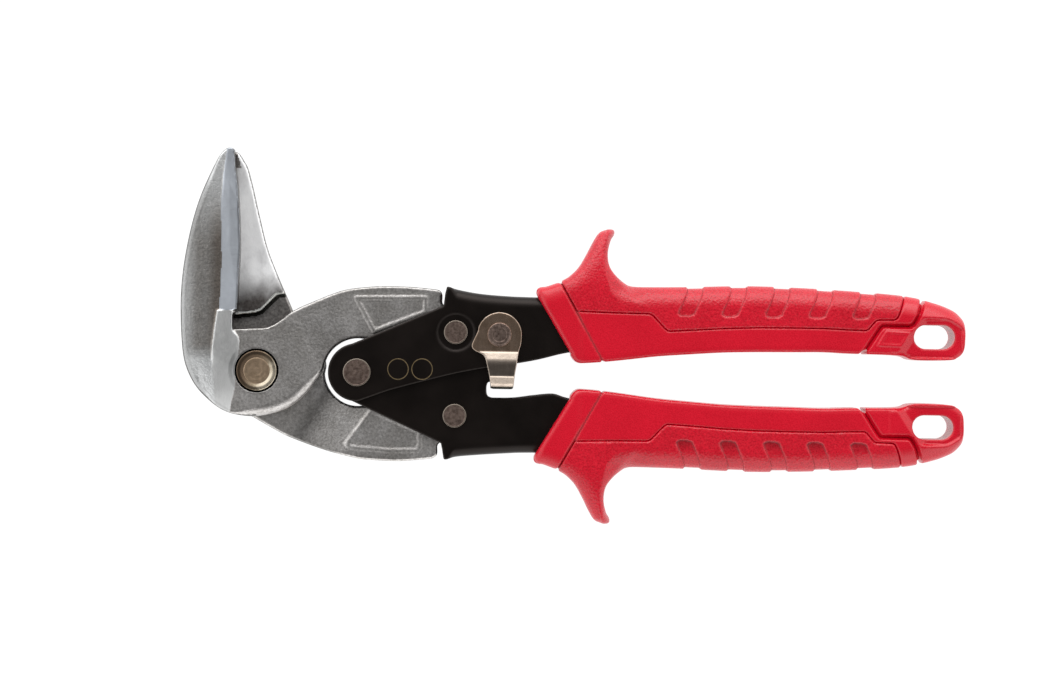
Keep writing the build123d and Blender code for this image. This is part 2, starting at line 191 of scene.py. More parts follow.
def net(field, low, step):
    """Vertices and quads of a sampled field's zero surface (surface nets)."""
    inside = field < 0
    corners = [(i, j, k) for i in (0, 1) for j in (0, 1) for k in (0, 1)]
    size = np.array(field.shape) - 1

    def shifted(array, corner):
        i, j, k = corner
        return array[i : i + size[0], j : j + size[1], k : k + size[2]]

    count = sum(shifted(inside, c).astype(np.uint8) for c in corners)
    cells = np.stack(np.nonzero((count > 0) & (count < 8)), 1)
    number = np.full(tuple(size), -1, np.int64)
    number[tuple(cells.T)] = np.arange(len(cells))
    values = {c: field[tuple((cells + c).T)] for c in corners}
    total, hits = np.zeros((len(cells), 3)), np.zeros(len(cells))
    for axis in range(3):
        for c in corners:
            if c[axis]:
                continue
            far = tuple(1 if n == axis else v for n, v in enumerate(c))
            a, b = values[c], values[far]
            crossing = (a < 0) != (b < 0)
            t = np.where(crossing, a / np.where(crossing, a - b, 1), 0)
            point = np.tile(np.array(c, float), (len(cells), 1))
            point[:, axis] = t
            total += point * crossing[:, None]
            hits += crossing
    grid = cells + total / hits[:, None]
    quads = []
    for axis in range(3):
        u, v = (axis + 1) % 3, (axis + 2) % 3
        here = [slice(0, None)] * 3
        there = [slice(0, None)] * 3
        here[axis], there[axis] = slice(0, -1), slice(1, None)
        first, second = inside[tuple(here)], inside[tuple(there)]
        at = np.stack(np.nonzero(first != second), 1)
        keep = (at[:, u] > 0) & (at[:, v] > 0) & (at[:, u] < size[u]) & (at[:, v] < size[v])
        at = at[keep]
        ring = []
        for du, dv in ((1, 1), (0, 1), (0, 0), (1, 0)):
            cell = at.copy()
            cell[:, u] -= du
            cell[:, v] -= dv
            ring.append(number[tuple(cell.T)])
        quad = np.stack(ring, 1)
        turned = ~first[tuple(at.T)]
        quad[turned] = quad[turned][:, ::-1]
        quads.append(quad)
    return settle(grid, field, step) * step + low, np.vstack(quads)


def sample(field, grid):
    """Trilinear value of a field at grid positions."""
    base = np.clip(np.floor(grid).astype(int), 0, np.array(field.shape) - 2)
    part = grid - base
    value = np.zeros(len(grid))
    for i in (0, 1):
        for j in (0, 1):
            for k in (0, 1):
                weight = np.ones(len(grid))
                for n, bit in enumerate((i, j, k)):
                    weight *= part[:, n] if bit else 1 - part[:, n]
                value += weight * field[base[:, 0] + i, base[:, 1] + j, base[:, 2] + k]
    return value


def settle(grid, field, step, rounds=2, reach=0.35):
    """Move grid positions onto the field's zero surface."""
    start = grid.copy()
    eps = 0.5
    for _ in range(rounds):
        value = sample(field, grid)
        gradient = np.zeros_like(grid)
        for axis in range(3):
            offset = np.zeros(3)
            offset[axis] = eps
            rise = sample(field, grid + offset) - sample(field, grid - offset)
            gradient[:, axis] = rise / (2 * eps * step[axis])
        move = -value[:, None] * gradient / np.maximum((gradient**2).sum(1), 1e-6)[:, None] / step
        grid = grid + np.clip(move, -reach, reach)
    return np.clip(grid, start - reach, start + reach)


def place(points):
    """Millimetres in the tool's frame to metres in the row frame."""
    return np.asarray(points, float) * MM + ORIGIN


def linked(name, data):
    """A new object that shows this mesh, lamp or camera."""
    obj = bpy.data.objects.new(name, data)
    bpy.context.scene.collection.objects.link(obj)
    return obj


def mesh_object(name, points, faces):
    """A mesh object from points in the tool's frame and faces of equal length."""
    faces = np.asarray(faces, np.int32)
    sides = faces.shape[1]
    mesh = bpy.data.meshes.new(name)
    mesh.vertices.add(len(points))
    mesh.vertices.foreach_set("co", place(points).astype(np.float32).ravel())
    mesh.loops.add(faces.size)
    mesh.loops.foreach_set("vertex_index", faces.ravel())
    mesh.polygons.add(len(faces))
    mesh.polygons.foreach_set("loop_start", np.arange(0, faces.size, sides, dtype=np.int32))
    mesh.update(calc_edges=True)
    mesh.validate()
    mesh.polygons.foreach_set("use_smooth", np.ones(len(mesh.polygons), bool))
    return linked(name, mesh)


def creased(name, points, faces, angle):
    """A mesh object from points and mixed faces, smooth but for edges sharper than an angle in degrees."""
    mesh = bpy.data.meshes.new(name)
    mesh.from_pydata(place(points).tolist(), [], faces)
    mesh.validate()
    mesh.polygons.foreach_set("use_smooth", np.ones(len(mesh.polygons), bool))
    mesh.set_sharp_from_angle(angle=math.radians(angle))
    return linked(name, mesh)


def finish_piece(obj, body, material, nodes):
    """Ride, replace and paint one piece."""
    obj.data.materials.append(material)
    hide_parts(*nodes)
    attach(obj, body)
    return obj


def carve(name, points, low_z, high_z, shape, step=MEDIUM, step_z=None, margin=1.2):
    """Mesh of the solid where shape(x, y, z) is negative, over an outline's box."""
    p = np.array(points, float)
    step = np.array([step, step, step_z or step])
    low = np.array([*(p.min(0) - margin), low_z - margin])
    high = np.array([*(p.max(0) + margin), high_z + margin])
    counts = np.ceil((high - low) / step).astype(int) + 1
    axes = [low[i] + step[i] * np.arange(counts[i]) for i in range(3)]
    x, y, z = np.meshgrid(*axes, indexing="ij", sparse=True)
    field = shape(x + 0 * y, y + 0 * x, z).astype(np.float32)
    return mesh_object(name, *net(field, low, step))


def braced(profile, edge=0.08):
    """The profile with a point just inside each end of its long runs, so that flats shade flat."""
    extra = []
    for a, b in zip(profile, profile[1:] + profile[:1]):
        extra.append(a)
        length = math.dist(a, b)
        if length > 5 * edge and (a[0] or b[0]):
            for part in (edge / length, 1 - edge / length):
                extra.append((a[0] + (b[0] - a[0]) * part, a[1] + (b[1] - a[1]) * part))
    return extra


def lathe(name, centre, profile, around=96):
    """A closed turned solid from (radius, z) points; the axis is at radius 0."""
    turns = np.radians(np.arange(around) * 360 / around)
    points, faces, rings = [], [], []
    profile = braced(profile)
    for radius, z in profile:
        if radius == 0:
            rings.append([len(points)] * around)
            points.append((centre[0], centre[1], z))
            continue
        rings.append(list(range(len(points), len(points) + around)))
        for a in turns:
            points.append((centre[0] + radius * math.cos(a), centre[1] + radius * math.sin(a), z))
    for low, high in zip(rings, rings[1:] + rings[:1]):
        if low[0] == low[1] and high[0] == high[1]:
            continue
        for i in range(around):
            j = (i + 1) % around
            faces.append(list(dict.fromkeys((low[i], low[j], high[j], high[i]))))
    return creased(name, points, faces, 32)


def tube(name, points, radius, around=14):
    """A round wire along a line of points, closed at both ends."""
    p = np.array(points, float)
    along = np.gradient(p, axis=0)
    along /= np.linalg.norm(along, axis=1)[:, None]
    side = np.cross(along, (0.0, 0.0, 1.0))
    side /= np.linalg.norm(side, axis=1)[:, None]
    up = np.cross(side, along)
    a = np.radians(np.arange(around) * 360 / around)[None, :, None]
    rings = p[:, None] + radius * (side[:, None] * np.cos(a) + up[:, None] * np.sin(a))
    faces = []
    for i in range(len(p) - 1):
        for j in range(around):
            k = (j + 1) % around
            faces.append((i * around + j, i * around + k, (i + 1) * around + k, (i + 1) * around + j))
    faces.append(tuple(range(around)))
    faces.append(tuple(reversed(range((len(p) - 1) * around, len(p) * around))))
    return creased(name, rings.reshape(-1, 3), faces, 50)


# ---------------------------------------------------------- materials


def fill_ramp(colour_ramp, stops):
    """Set a colour ramp's (position, colour) stops."""
    while len(colour_ramp.elements) < len(stops):
        colour_ramp.elements.new(0.5)
    for element, (position, colour) in zip(colour_ramp.elements, stops):
        element.position = position
        element.color = (*colour, 1)


class Shader:
    """A small builder of node materials whose textures are in millimetres."""

    def __init__(self, name, **sockets):
        self.material = bpy.data.materials.new(name)
        self.material.use_nodes = True
        self.tree = self.material.node_tree
        self.body = self.tree.nodes["Principled BSDF"]
        for socket, value in sockets.items():
            self.body.inputs[socket.replace("_", " ")].default_value = value
        self.place = self.node("ShaderNodeTexCoord").outputs["Object"]

    def node(self, kind, **settings):
        node = self.tree.nodes.new(kind)
        for key, value in settings.items():
            setattr(node, key, value)
        return node

    def link(self, output, socket):
        self.tree.links.new(output, socket)

    def stretched(self, scale):
        """The position in millimetres, scaled along each axis."""
        mapping = self.node("ShaderNodeMapping")
        mapping.inputs["Scale"].default_value = [s / MM for s in scale]
        self.link(self.place, mapping.inputs["Vector"])
        return mapping.outputs["Vector"]

    def noise(self, size, detail=4.0, rough=0.55, scale=(1, 1, 1), warp=0.0):
        """Noise from 0 to 1 with features of about this size."""
        node = self.node("ShaderNodeTexNoise")
        node.inputs["Scale"].default_value = 1 / size
        node.inputs["Detail"].default_value = detail
        node.inputs["Roughness"].default_value = rough
        node.inputs["Distortion"].default_value = warp
        self.link(self.stretched(scale), node.inputs["Vector"])
        return node.outputs["Fac"]

    def cells(self, size):
        """Distance to the nearest of scattered points."""
        node = self.node("ShaderNodeTexVoronoi", feature="F1")
        node.inputs["Scale"].default_value = 1 / size
        self.link(self.stretched((1, 1, 1)), node.inputs["Vector"])
        return node.outputs["Distance"]

    def along(self, direction, low, high):
        """0 to 1 as the tool-frame position goes from low to high millimetres in a direction."""
        unit = Vector((*direction, 0.0)).normalized()
        dot = self.node("ShaderNodeVectorMath", operation="DOT_PRODUCT")
        dot.inputs[1].default_value = unit
        self.link(self.place, dot.inputs[0])
        base = unit.dot(Vector(ORIGIN))
        return self.range(dot.outputs["Value"], base + low * MM, base + high * MM, 0.0, 1.0)

    def range(self, value, low, high, to_low, to_high):
        """Remap a value, clamped."""
        node = self.node("ShaderNodeMapRange")
        for socket, number in zip(("From Min", "From Max", "To Min", "To Max"), (low, high, to_low, to_high)):
            node.inputs[socket].default_value = number
        self.link(value, node.inputs["Value"])
        return node.outputs["Result"]

    def joined(self, operation, first, *others):
        """Values added (ADD) or multiplied (MULTIPLY) together."""
        for other in others:
            node = self.node("ShaderNodeMath", operation=operation)
            self.link(first, node.inputs[0])
            self.link(other, node.inputs[1])
            first = node.outputs[0]
        return first

    def colours(self, value, *stops):
        """A colour ramp: (position, colour) pairs."""
        node = self.node("ShaderNodeValToRGB")
        fill_ramp(node.color_ramp, stops)
        self.link(value, node.inputs["Fac"])
        return node.outputs["Color"]

    def mix(self, factor, a, b):
        """Two colours mixed by a factor."""
        node = self.node("ShaderNodeMix", data_type="RGBA")
        self.link(factor, node.inputs["Factor"])
        self.link(a, node.inputs[6])
        self.link(b, node.inputs[7])
        return node.outputs[2]

    def tinted(self, colour, tint):
        """A colour multiplied by another, which is a socket or a constant."""
        node = self.node("ShaderNodeMix", data_type="RGBA", blend_type="MULTIPLY")
        node.inputs["Factor"].default_value = 1.0
        self.link(colour, node.inputs[6])
        if isinstance(tint, tuple):
            node.inputs[7].default_value = (*tint, 1)
        else:
            self.link(tint, node.inputs[7])
        return node.outputs[2]

    def painted_shade(self, colour, tint=(0.36, 0.36, 0.36)):
        """The colour, darkened by painted shade where the mesh's stored shade value rises to 1."""
        node = self.node("ShaderNodeAttribute", attribute_name="painted_shade")
        return self.mix(node.outputs["Fac"], colour, self.tinted(colour, tint))

    def bump(self, *layers):
        """Stack bumps: (height, depth in millimetres) pairs."""
        normal = None
        for height, depth in layers:
            node = self.node("ShaderNodeBump")
            node.inputs["Strength"].default_value = 1.0
            node.inputs["Distance"].default_value = depth * MM
            self.link(height, node.inputs["Height"])
            if normal is not None:
                self.link(normal, node.inputs["Normal"])
            normal = node.outputs["Normal"]
        self.link(normal, self.body.inputs["Normal"])

    def set(self, socket, value):
        self.link(value, self.body.inputs[socket])
        return self


def forged_steel(name="forged_steel", low=(0.50, 0.48, 0.465), high=(0.82, 0.795, 0.78)):
    """Drop-forged steel with a blasted, slightly mottled satin skin."""
    s = Shader(name, Metallic=1.0)
    grain = s.noise(0.75, 5, 0.7)
    blotch = s.noise(9.0, 4, 0.6)
    base = s.colours(grain, (0.38, low), (0.62, high))
    cloud = s.colours(blotch, (0.3, (0.84, 0.83, 0.81)), (0.7, (1.0, 1.0, 1.0)))
    # Darkened where the mesh stores painted shade.
    s.set("Base Color", s.painted_shade(s.tinted(base, cloud)))
    s.set("Roughness", s.range(blotch, 0.3, 0.7, 0.28, 0.34))
    s.bump((grain, 0.10), (blotch, 0.12))
    return s.material


def forged_wing():
    """Forged steel with painted light and shade: darker and browner above the bend at the foot of the wing,
    painted lighter at the foot, near the tip and along the outer rim, with a painted shadow beside the strip.
    """
    s = Shader("forged_wing", Metallic=1.0)
    grain = s.noise(0.75, 5, 0.7)
    blotch = s.noise(7.0, 4, 0.6)
    bright = s.colours(grain, (0.34, (0.80, 0.81, 0.81)), (0.66, (0.97, 0.98, 0.98)))
    dark = s.colours(grain, (0.34, (0.25, 0.235, 0.22)), (0.66, (0.48, 0.455, 0.43)))
    # Painted light: lighter where the face turns at the foot of the wing, near the tip and along the outer
    # rim; darker and browner between.
    foot, tip, rim = s.along((0, 1), 3.0, 7.5), s.along((0, 1), 56.0, 38.0), s.along((1, 0), -22.5, -18.0)
    middle = s.joined("MULTIPLY", foot, tip, rim, s.range(blotch, 0.3, 0.7, 0.8, 1.0))
    skin = s.mix(middle, bright, dark)
    # A browner painted shadow on the wing beside the ridge of the ground strip.
    foot, tip, ridge = s.along((0, 1), 2.0, 12.0), s.along((0, 1), 52.0, 40.0), s.along((1, 0), -15.5, -12.5)
    strip_shadow = s.joined("MULTIPLY", ridge, foot, tip)
    # Darkened where the mesh stores painted shade.
    s.set("Base Color", s.painted_shade(s.mix(strip_shadow, skin, s.tinted(skin, (0.60, 0.55, 0.51)))))
    s.set("Roughness", s.range(blotch, 0.3, 0.7, 0.30, 0.36))
    s.bump((grain, 0.12), (blotch, 0.12))
    return s.material


def polished_face():
    """Bright polished steel, darker and grainier towards its lower end."""
    s = Shader("polished_face", Metallic=1.0)
    grain = s.noise(0.9, 4, 0.65)
    cloud = s.noise(5.0, 4, 0.6, scale=(1, 0.6, 1))
    darker_end = s.colours(grain, (0.34, (0.08, 0.07, 0.066)), (0.66, (0.155, 0.143, 0.136)))
    bright = s.colours(cloud, (0.3, (0.86, 0.86, 0.87)), (0.7, (0.98, 0.98, 0.98)))
    brighter_part = s.joined("ADD", s.along((-0.2, 1), 20.5, 29.0), s.range(cloud, 0.35, 0.65, -0.12, 0.12))
    s.set("Base Color", s.mix(s.range(brighter_part, 0.0, 1.0, 0.0, 1.0), darker_end, bright))
    s.set("Roughness", s.range(cloud, 0.3, 0.7, 0.46, 0.52))
    s.bump((grain, 0.03), (cloud, 0.05))
    return s.material


def ground_steel(name, low, high, roughness, along, depth=0.02):
    """Ground or polished steel with fine parallel marks; along is the marks' direction."""
    s = Shader(name, Metallic=1.0)
    marks = s.noise(0.35, 3, 0.6, scale=along)
    cloud = s.noise(6.0, 4, 0.6, scale=(1, 0.5, 1))
    # Darkened where the mesh stores painted shade.
    s.set("Base Color", s.painted_shade(s.colours(cloud, (0.3, low), (0.7, high))))
    s.set("Roughness", s.range(marks, 0.3, 0.7, roughness - 0.04, roughness + 0.05))
    s.bump((marks, depth), (cloud, 0.10))
    return s.material


def black_enamel():
    """Black oxide and enamel on pressed steel."""
    s = Shader("black_enamel", Metallic=0.0, Specular_IOR_Level=0.26, Specular_Tint=(1.0, 0.86, 0.80, 1.0))
    fine = s.noise(0.5, 3, 0.6)
    broad = s.noise(9.0, 3, 0.5)
    s.set("Base Color", s.colours(broad, (0.3, (0.0026, 0.0019, 0.0016)), (0.7, (0.0044, 0.0031, 0.0026))))
    s.set("Roughness", s.range(broad, 0.3, 0.7, 0.28, 0.36))
    s.bump((fine, 0.010))
    return s.material


def turned_steel(name, low, high, roughness, marks=(1, 0.12, 1), depth=0.012, patch=2.6):
    """Rivet, bolt or latch steel with fine scratches."""
    s = Shader(name, Metallic=1.0)
    scratch = s.noise(0.55, 5, 0.65, scale=marks, warp=0.5)
    cloud = s.noise(patch, 4, 0.6)
    s.set("Base Color", s.colours(cloud, (0.3, low), (0.7, high)))
    s.set("Roughness", s.range(scratch, 0.35, 0.65, roughness - 0.02, roughness + 0.04))
    s.bump((scratch, depth), (cloud, 0.03))
    return s.material


def bolt_rim():
    """The bolt head's dished rim: brown, with painted light making it bright cream towards one side."""
    s = Shader("bolt_rim", Metallic=1.0)
    cloud = s.noise(1.2, 4, 0.6)
    light_side = s.joined("ADD", s.along((0.85, -0.53), -3.0, 4.5), s.range(cloud, 0.3, 0.7, -0.12, 0.12))
    # The cream end of this ramp is a painted highlight, laid across the head towards one side.
    brown, tan, bare = (0.20, 0.14, 0.095), (0.30, 0.24, 0.17), (0.86, 0.76, 0.60)
    s.set("Base Color", s.colours(light_side, (0.1, brown), (0.66, tan), (0.97, bare)))
    s.set("Roughness", s.range(cloud, 0.3, 0.7, 0.24, 0.32))
    return s.material


def red_plastic(name, pebble, depth, roughness, speckle, low=(0.61, 0.003, 0.019), high=(0.68, 0.004, 0.023)):
    """Red moulded plastic with a stippled skin."""
    s = Shader(name, Metallic=0.0, Specular_IOR_Level=0.52)
    cell = s.cells(pebble)
    fine = s.noise(pebble * 0.7, 3, 0.6)
    broad = s.noise(14.0, 3, 0.5)
    base = s.colours(broad, (0.3, low), (0.7, high))
    speck = s.colours(fine, (0.30, (speckle, speckle * 0.9, speckle * 0.9)), (0.62, (1.0, 1.0, 1.0)))
    # Darkened where the mesh stores painted shade, such as the recesses' inner ends.
    s.set("Base Color", s.painted_shade(s.tinted(base, speck), (0.55, 0.45, 0.5)))
    s.set("Roughness", s.range(fine, 0.3, 0.7, roughness - 0.06, roughness + 0.06))
    s.bump((cell, depth), (fine, depth * 0.7))
    return s.material


STEEL = forged_steel()
WING = forged_wing()
# Darker steel: painted shade on the far jaw's sunken relief below the step, and a darker corner at its tip.
DARK_STEEL = forged_steel("dark_steel", (0.24, 0.225, 0.22), (0.46, 0.435, 0.42))
# Dark steel painted on upright walls as painted shade where the edges turn down to the floor.
WALL_SHADE = forged_steel("wall_shade", (0.16, 0.155, 0.15), (0.26, 0.255, 0.25))
# Near-white steel as a painted highlight along the bevel at the step of the far jaw's polished face.
CHAMFER_HIGHLIGHT = forged_steel("step_chamfer_highlight", (0.85, 0.86, 0.83), (0.96, 0.97, 0.94))
SHADE = forged_steel("deep_shade", (0.03, 0.03, 0.026), (0.055, 0.055, 0.048))
GROUND = ground_steel("ground_strip", (0.62, 0.655, 0.71), (0.71, 0.755, 0.82), 0.40, (0.15, 1.6, 1))
SATIN = ground_steel("ground_band", (0.66, 0.665, 0.66), (0.84, 0.845, 0.84), 0.42, (1.6, 0.3, 1), 0.03)
POLISHED = polished_face()
BLACK = black_enamel()
RIVET = turned_steel("rivet_steel", (0.17, 0.12, 0.10), (0.52, 0.385, 0.325), 0.30, depth=0.035, patch=0.9)
BOLT = turned_steel("bolt_plating", (0.56, 0.405, 0.27), (0.86, 0.635, 0.44), 0.30, (0.6, 0.6, 1), 0.02, 1.4)
BOLT_RIM = bolt_rim()
NICKEL = turned_steel("nickel_plating", (0.42, 0.29, 0.205), (0.60, 0.44, 0.335), 0.22, (0.8, 0.15, 1), 0.002)
# Bare plating on the latch's tab; the same lighter steel makes a painted highlight ring round each rivet
# head.
BARE_AND_HIGHLIGHT = turned_steel("bare_plating_and_highlight", (0.38, 0.315, 0.26), (0.485, 0.41, 0.345), 0.17, (0.8, 0.15, 1), 0.002)
WIRE = turned_steel("spring_wire", (0.22, 0.22, 0.23), (0.34, 0.34, 0.35), 0.32)
ETCHED = turned_steel("etched_mark", (0.20, 0.15, 0.08), (0.28, 0.21, 0.12), 0.5)
COVER = red_plastic("cover_red", 0.75, 0.10, 0.29, 0.66)
SHELL = red_plastic("shell_red", 0.45, 0.02, 0.28, 0.82)
# Dark red as painted shade in the collar groove and in a thin line just inside each recess.
GROOVE_SHADE = red_plastic("groove_shade_red", 0.45, 0.02, 0.6, 0.8, (0.36, 0.0015, 0.010), (0.42, 0.002, 0.012))


# --------------------------------------------------------------- jaws


def upper_jaw_points():
    """Outline of the near jaw: blade's inner edge, back, boss, window, tail, arm."""
    return outline(
        [(-7.4, 12.2), (-7.5, 16.6)],
        smooth([(-6.1, 18.1), (-5.9, 26.7), (-5.6, 38), (-6.3, 51.7), (-7.4, 61.1), (-7.9, 66.2)]),
        smooth([(-8.4, 66.65), (-9.3, 66.74), (-10.9, 66.0), (-13.1, 62.8), (-17.4, 53.3), (-20.4, 43.3),
                (-22.6, 31.1), (-23.3, 20), (-22.7, 7.8), (-21.3, 0.3), (-17.7, -6.1), (-11.6, -11.2),
                (-5.4, -13.4), (1.8, -13.6), (9.6, -11.2), (15.1, -6.7), (18.4, -1.7), (20.0, 0.9)]),
        arc(HANDLE_PIVOT, WINDOW_R, 174, 90),
        [(52.9, 8.6)],
        arc(UPPER_LINK, TAIL_R, -150, 90),
        smooth([(56.0, 20.4), (55.2, 21.4), (55.2, 23.6), (54.6, 24.9), (53.4, 25.3)], 5),
        smooth([(53.4, 25.3), (46.9, 25.85), (40, 26.05), (33.1, 25.7), (25, 24.4), (15, 20.3), (10.1, 17.8),
                (7.3, 15.6), (4.3, 13.6), (2.3, 12.8), (-3.8, 12.4)]),
    )


def bead(points, x, y, height=0.2, width=0.95):
    """A narrow raised bead along a closed line."""
    ring = np.vstack([points, points[:1]])
    return height * (1 - ramp(width * 0.3, width, line_map(ring, x, y)))


def strip_ridge(y):
    """Left edge of the ground strip beside the cutting edge."""
    return np.interp(y, [18, 25, 33, 41, 49, 58, 66], [-11.4, -11.1, -10.9, -11.1, -11.4, -10.9, -10.0])


def band_left(y):
    """Left edge of the raised band that runs from the strip past the bolt."""
    return np.interp(y, [-13, -8, 0, 7, 12, 18], [-12.0, -12.4, -13.2, -13.3, -12.8, -12.0])


def band_right(y):
    """Right edge of that band."""
    return np.interp(y, [-13, -9.4, -6, 6.7, 8.9, 10.3, 12], [-7.9, -7.4, -6.6, -5.4, -5.3, -5.7, -7.2])


def on_band(x, y):
    """Whether a point lies on that band."""
    return (y < 18.0) & (x > band_left(y) - 0.1) & (x < band_right(y))


def arm_turn(x, y):
    """Distance past the line beside the boss where the near jaw's arm bends, towards the grips."""
    return -side_map((18.2, 14.0), (21.4, 7.5), x, y)


def upper_jaw_top(x, y):
    """Height of the near jaw's visible face: wing, ground strip, band, boss, arm."""
    ridge = strip_ridge(y)
    facet = np.interp(y, [16, 22, 29, 37, 53, 66], [-5.6, -6.2, -7.1, -8.5, -9.0, -8.8])
    fall = np.maximum(6.0 - y, 0)
    wing = 4.75 - 0.25 * np.minimum(fall, 8.0) - 0.15 * np.maximum(fall - 8.0, 0) + 0.12 * ramp(0, 2.5, fall)
    wing = wing - 0.006 * np.maximum(-15.0 - x, 0) ** 2 - 0.012 * np.maximum(y - 46, 0)
    strip = 4.76 + 0.11 * (x - ridge) - 0.12 * np.maximum(x - facet, 0)
    blade = between(wing, strip, slope(-0.2, 0.2, x - ridge))
    boss = 4.55 - 0.02 * y
    band_top = 5.15 - 0.05 * np.maximum(1.5 - y, 0) - 0.07 * (x - band_left(y))
    lower = between(wing, band_top, slope(-0.45, 0.2, x - band_left(y)))
    lower = between(lower, boss, slope(-0.4, 0.2, x - band_right(y)))
    foot = between(wing, boss, slope(-4.5, band_right(y) - band_left(y) + 0.2, x - band_left(y)))
    lower = between(lower, foot, ramp(10.0, 0.0, y))
    face = between(lower, blade, slope(17.8, 18.2, y) * slope(-2.0, -3.5, x))
    return between(face, TAIL_HALF, slope(-6.0, 8.5, arm_turn(x, y)))


PANEL_UPPER = [(29.5, 22.3), (50.2, 22.7), (50.4, 18.5), (35.0, 12.4)]
PANEL_LOWER = [(34.6, -11.4), (27.3, -21.6), (28.5, -22.6), (40, -23.4), (48.5, -23.2), (49.2, -22.2),
               (49.2, -17.6)]


def upper_jaw_shape(x, y, z):
    """Near jaw as a field."""
    plan = inside_map(upper_jaw_points(), x, y)
    plan = np.maximum(plan, -disc_map(UPPER_LINK, LINK_RIVET[0] + RUNNING, x, y))
    top = upper_jaw_top(x, y) + bead(PANEL_UPPER, x, y)
    joggle = ramp(-2.4, 2.4, -side_map((19.0, 15.0), (22.2, 8.5), x, y))
    under = between(SHEAR_GAP, -TAIL_HALF, joggle)
    rim = 0.75 + 1.0 * ramp(-12, -16, x) + 2.4 * ramp(4, -6, y) * ramp(24, 14, x) * ramp(-8, 0, x)
    rim = between(rim, 0.12, ramp(3.0, 1.0, line_map(CUTTING_EDGE, x, y)))
    solid = np.maximum(rounded(plan, z - top, rim), rounded(plan, under - z, 0.35))
    solid = np.maximum(solid, -np.maximum(disc_map(JAW_PIVOT, COUNTERBORE_R, x, y), 3.0 - z))
    return np.maximum(solid, -disc_map(JAW_PIVOT, BOLT_BORE_R, x, y))


CUTTING_EDGE = [(2.3, 12.8), (-3.8, 12.4), (-7.4, 12.2), (-7.5, 16.6), (-6.1, 18.1), (-5.9, 26.7), (-5.6, 38),
                (-6.3, 51.7), (-7.9, 66.4)]


def lower_jaw_points():
    """Outline of the far jaw: tip, blade's outer edge, window, tail, arm, back."""
    return outline(
        [(-8.4, 65.9), (-7.2, 65.6)],
        smooth([(-6.6, 65.0), (-5.4, 63.1), (-4.1, 60.6), (-2.4, 54.4), (-0.4, 46.1), (2.1, 36.7),
                (5.1, 29.2), (8.4, 21.9), (10.2, 17.9)]),
        arc(JAW_PIVOT, 20.5, 58, 4, 16),
        arc(HANDLE_PIVOT, WINDOW_R, 184, 270),
        [(52.9, -8.6)],
        arc(LOWER_LINK, TAIL_R, 150, -90),
        smooth([(55.6, -20.4), (54.5, -21.6), (54.5, -23.3), (54.3, -24.65), (52.9, -25.6)], 5),
        smooth([(52.9, -25.6), (45, -26.4), (40, -26.5), (35, -26.3), (30, -25.8), (20, -23.4), (10, -20),
                (4, -17.0), (-2.5, -13.4)]),
        smooth([(-2.5, -13.4), (-9.5, -9.6), (-13.0, -3.5), (-13.3, 3.5), (-11.5, 11.0), (-9.6, 16.5),
                (-8.3, 31), (-8.0, 50), (-8.4, 65.6)]),
    )


STEP = [(-14, 16.3), (-7.1, 16.7), (-1.4, 17.4), (0.6, 18.1), (5.3, 23.0), (7.2, 23.3), (14, 23.6)]


def below_step(x, y):
    """Distance below the end of the polished face, negative on the polished side."""
    edge = np.array(STEP)
    sign = np.where(np.interp(x, edge[:, 0], edge[:, 1]) > y, 1, -1)
    return sign * line_map(STEP, x, y)


def lower_jaw_top(x, y):
    """Height of the far jaw's near side: polished blade face, relief and arm."""
    below = below_step(x, y)
    tilt = 0.05 + 0.16 * ramp(19.0, 36.0, y) - 0.04 * ramp(45, 66, y)
    face = -SHEAR_GAP - tilt * np.maximum(x + 7.0, 0)
    relief = -1.6 - 0.04 * np.maximum(x, 0)
    blade = face - 0.19 * slope(-0.7, 0.0, below)
    blade = between(blade, relief, slope(0.0, 0.4, below))
    rest = between(blade, -0.35, ramp(6.0, -4.0, y))
    joggle = ramp(-8.0, 8.0, side_map((22.3, -18.3), (26.3, -11.8), x, y))
    return between(rest, TAIL_HALF, joggle)


def lower_jaw_shape(x, y, z):
    """Far jaw as a field."""
    plan = inside_map(lower_jaw_points(), x, y)
    plan = np.maximum(plan, -disc_map(LOWER_LINK, 2.9, x, y))
    top = lower_jaw_top(x, y) + bead(PANEL_LOWER, x, y)
    joggle = ramp(-3.5, 3.5, side_map((20.0, -17.0), (24.0, -10.5), x, y))
    wing = 0.55 * ramp(-2, -9, x) * ramp(18, 30, y)
    under = between(-JAW_T, -TAIL_HALF, joggle) + wing
    solid = np.maximum(rounded(plan, z - top, 0.7), rounded(plan, under - z, 1.2))
    return np.maximum(solid, -disc_map(JAW_PIVOT, BOLT_BORE_R, x, y))


def read(items, key):
    """One vector per vertex or face of a mesh."""
    values = np.empty(len(items) * 3, np.float32)
    items.foreach_get(key, values)
    return values.reshape(-1, 3)


def tool_frame(points):
    """Row-frame points as x, y and z in the tool's own millimetres."""
    return ((points - ORIGIN) / MM).T


def paint(obj, material, where):
    """Give a second material to the faces whose centres satisfy where(x, y, z)."""
    mesh = obj.data
    index = np.empty(len(mesh.polygons), np.int32)
    mesh.polygons.foreach_get("material_index", index)
    mesh.materials.append(material)
    index[where(*tool_frame(read(mesh.polygons, "center")))] = len(mesh.materials) - 1
    mesh.polygons.foreach_set("material_index", index)


def paint_tilts(obj, material, low, high, where):
    """Give a second material to faces whose upward normal part lies between low and high."""
    up = np.abs(read(obj.data.polygons, "normal")[:, 2])
    paint(obj, material, lambda x, y, z: (up >= low) & (up < high) & where(x, y, z))


def paint_walls(obj, material, bright_edge=lambda x, y: False):
    """Paint the upright walls dark as painted shade, less of it where a rounded edge stays bright."""
    paint_tilts(obj, material, 0.0, 0.32, lambda x, y, z: True)
    paint_tilts(obj, material, 0.32, 0.6, lambda x, y, z: ~(bright_edge(x, y) & (z > 0)))


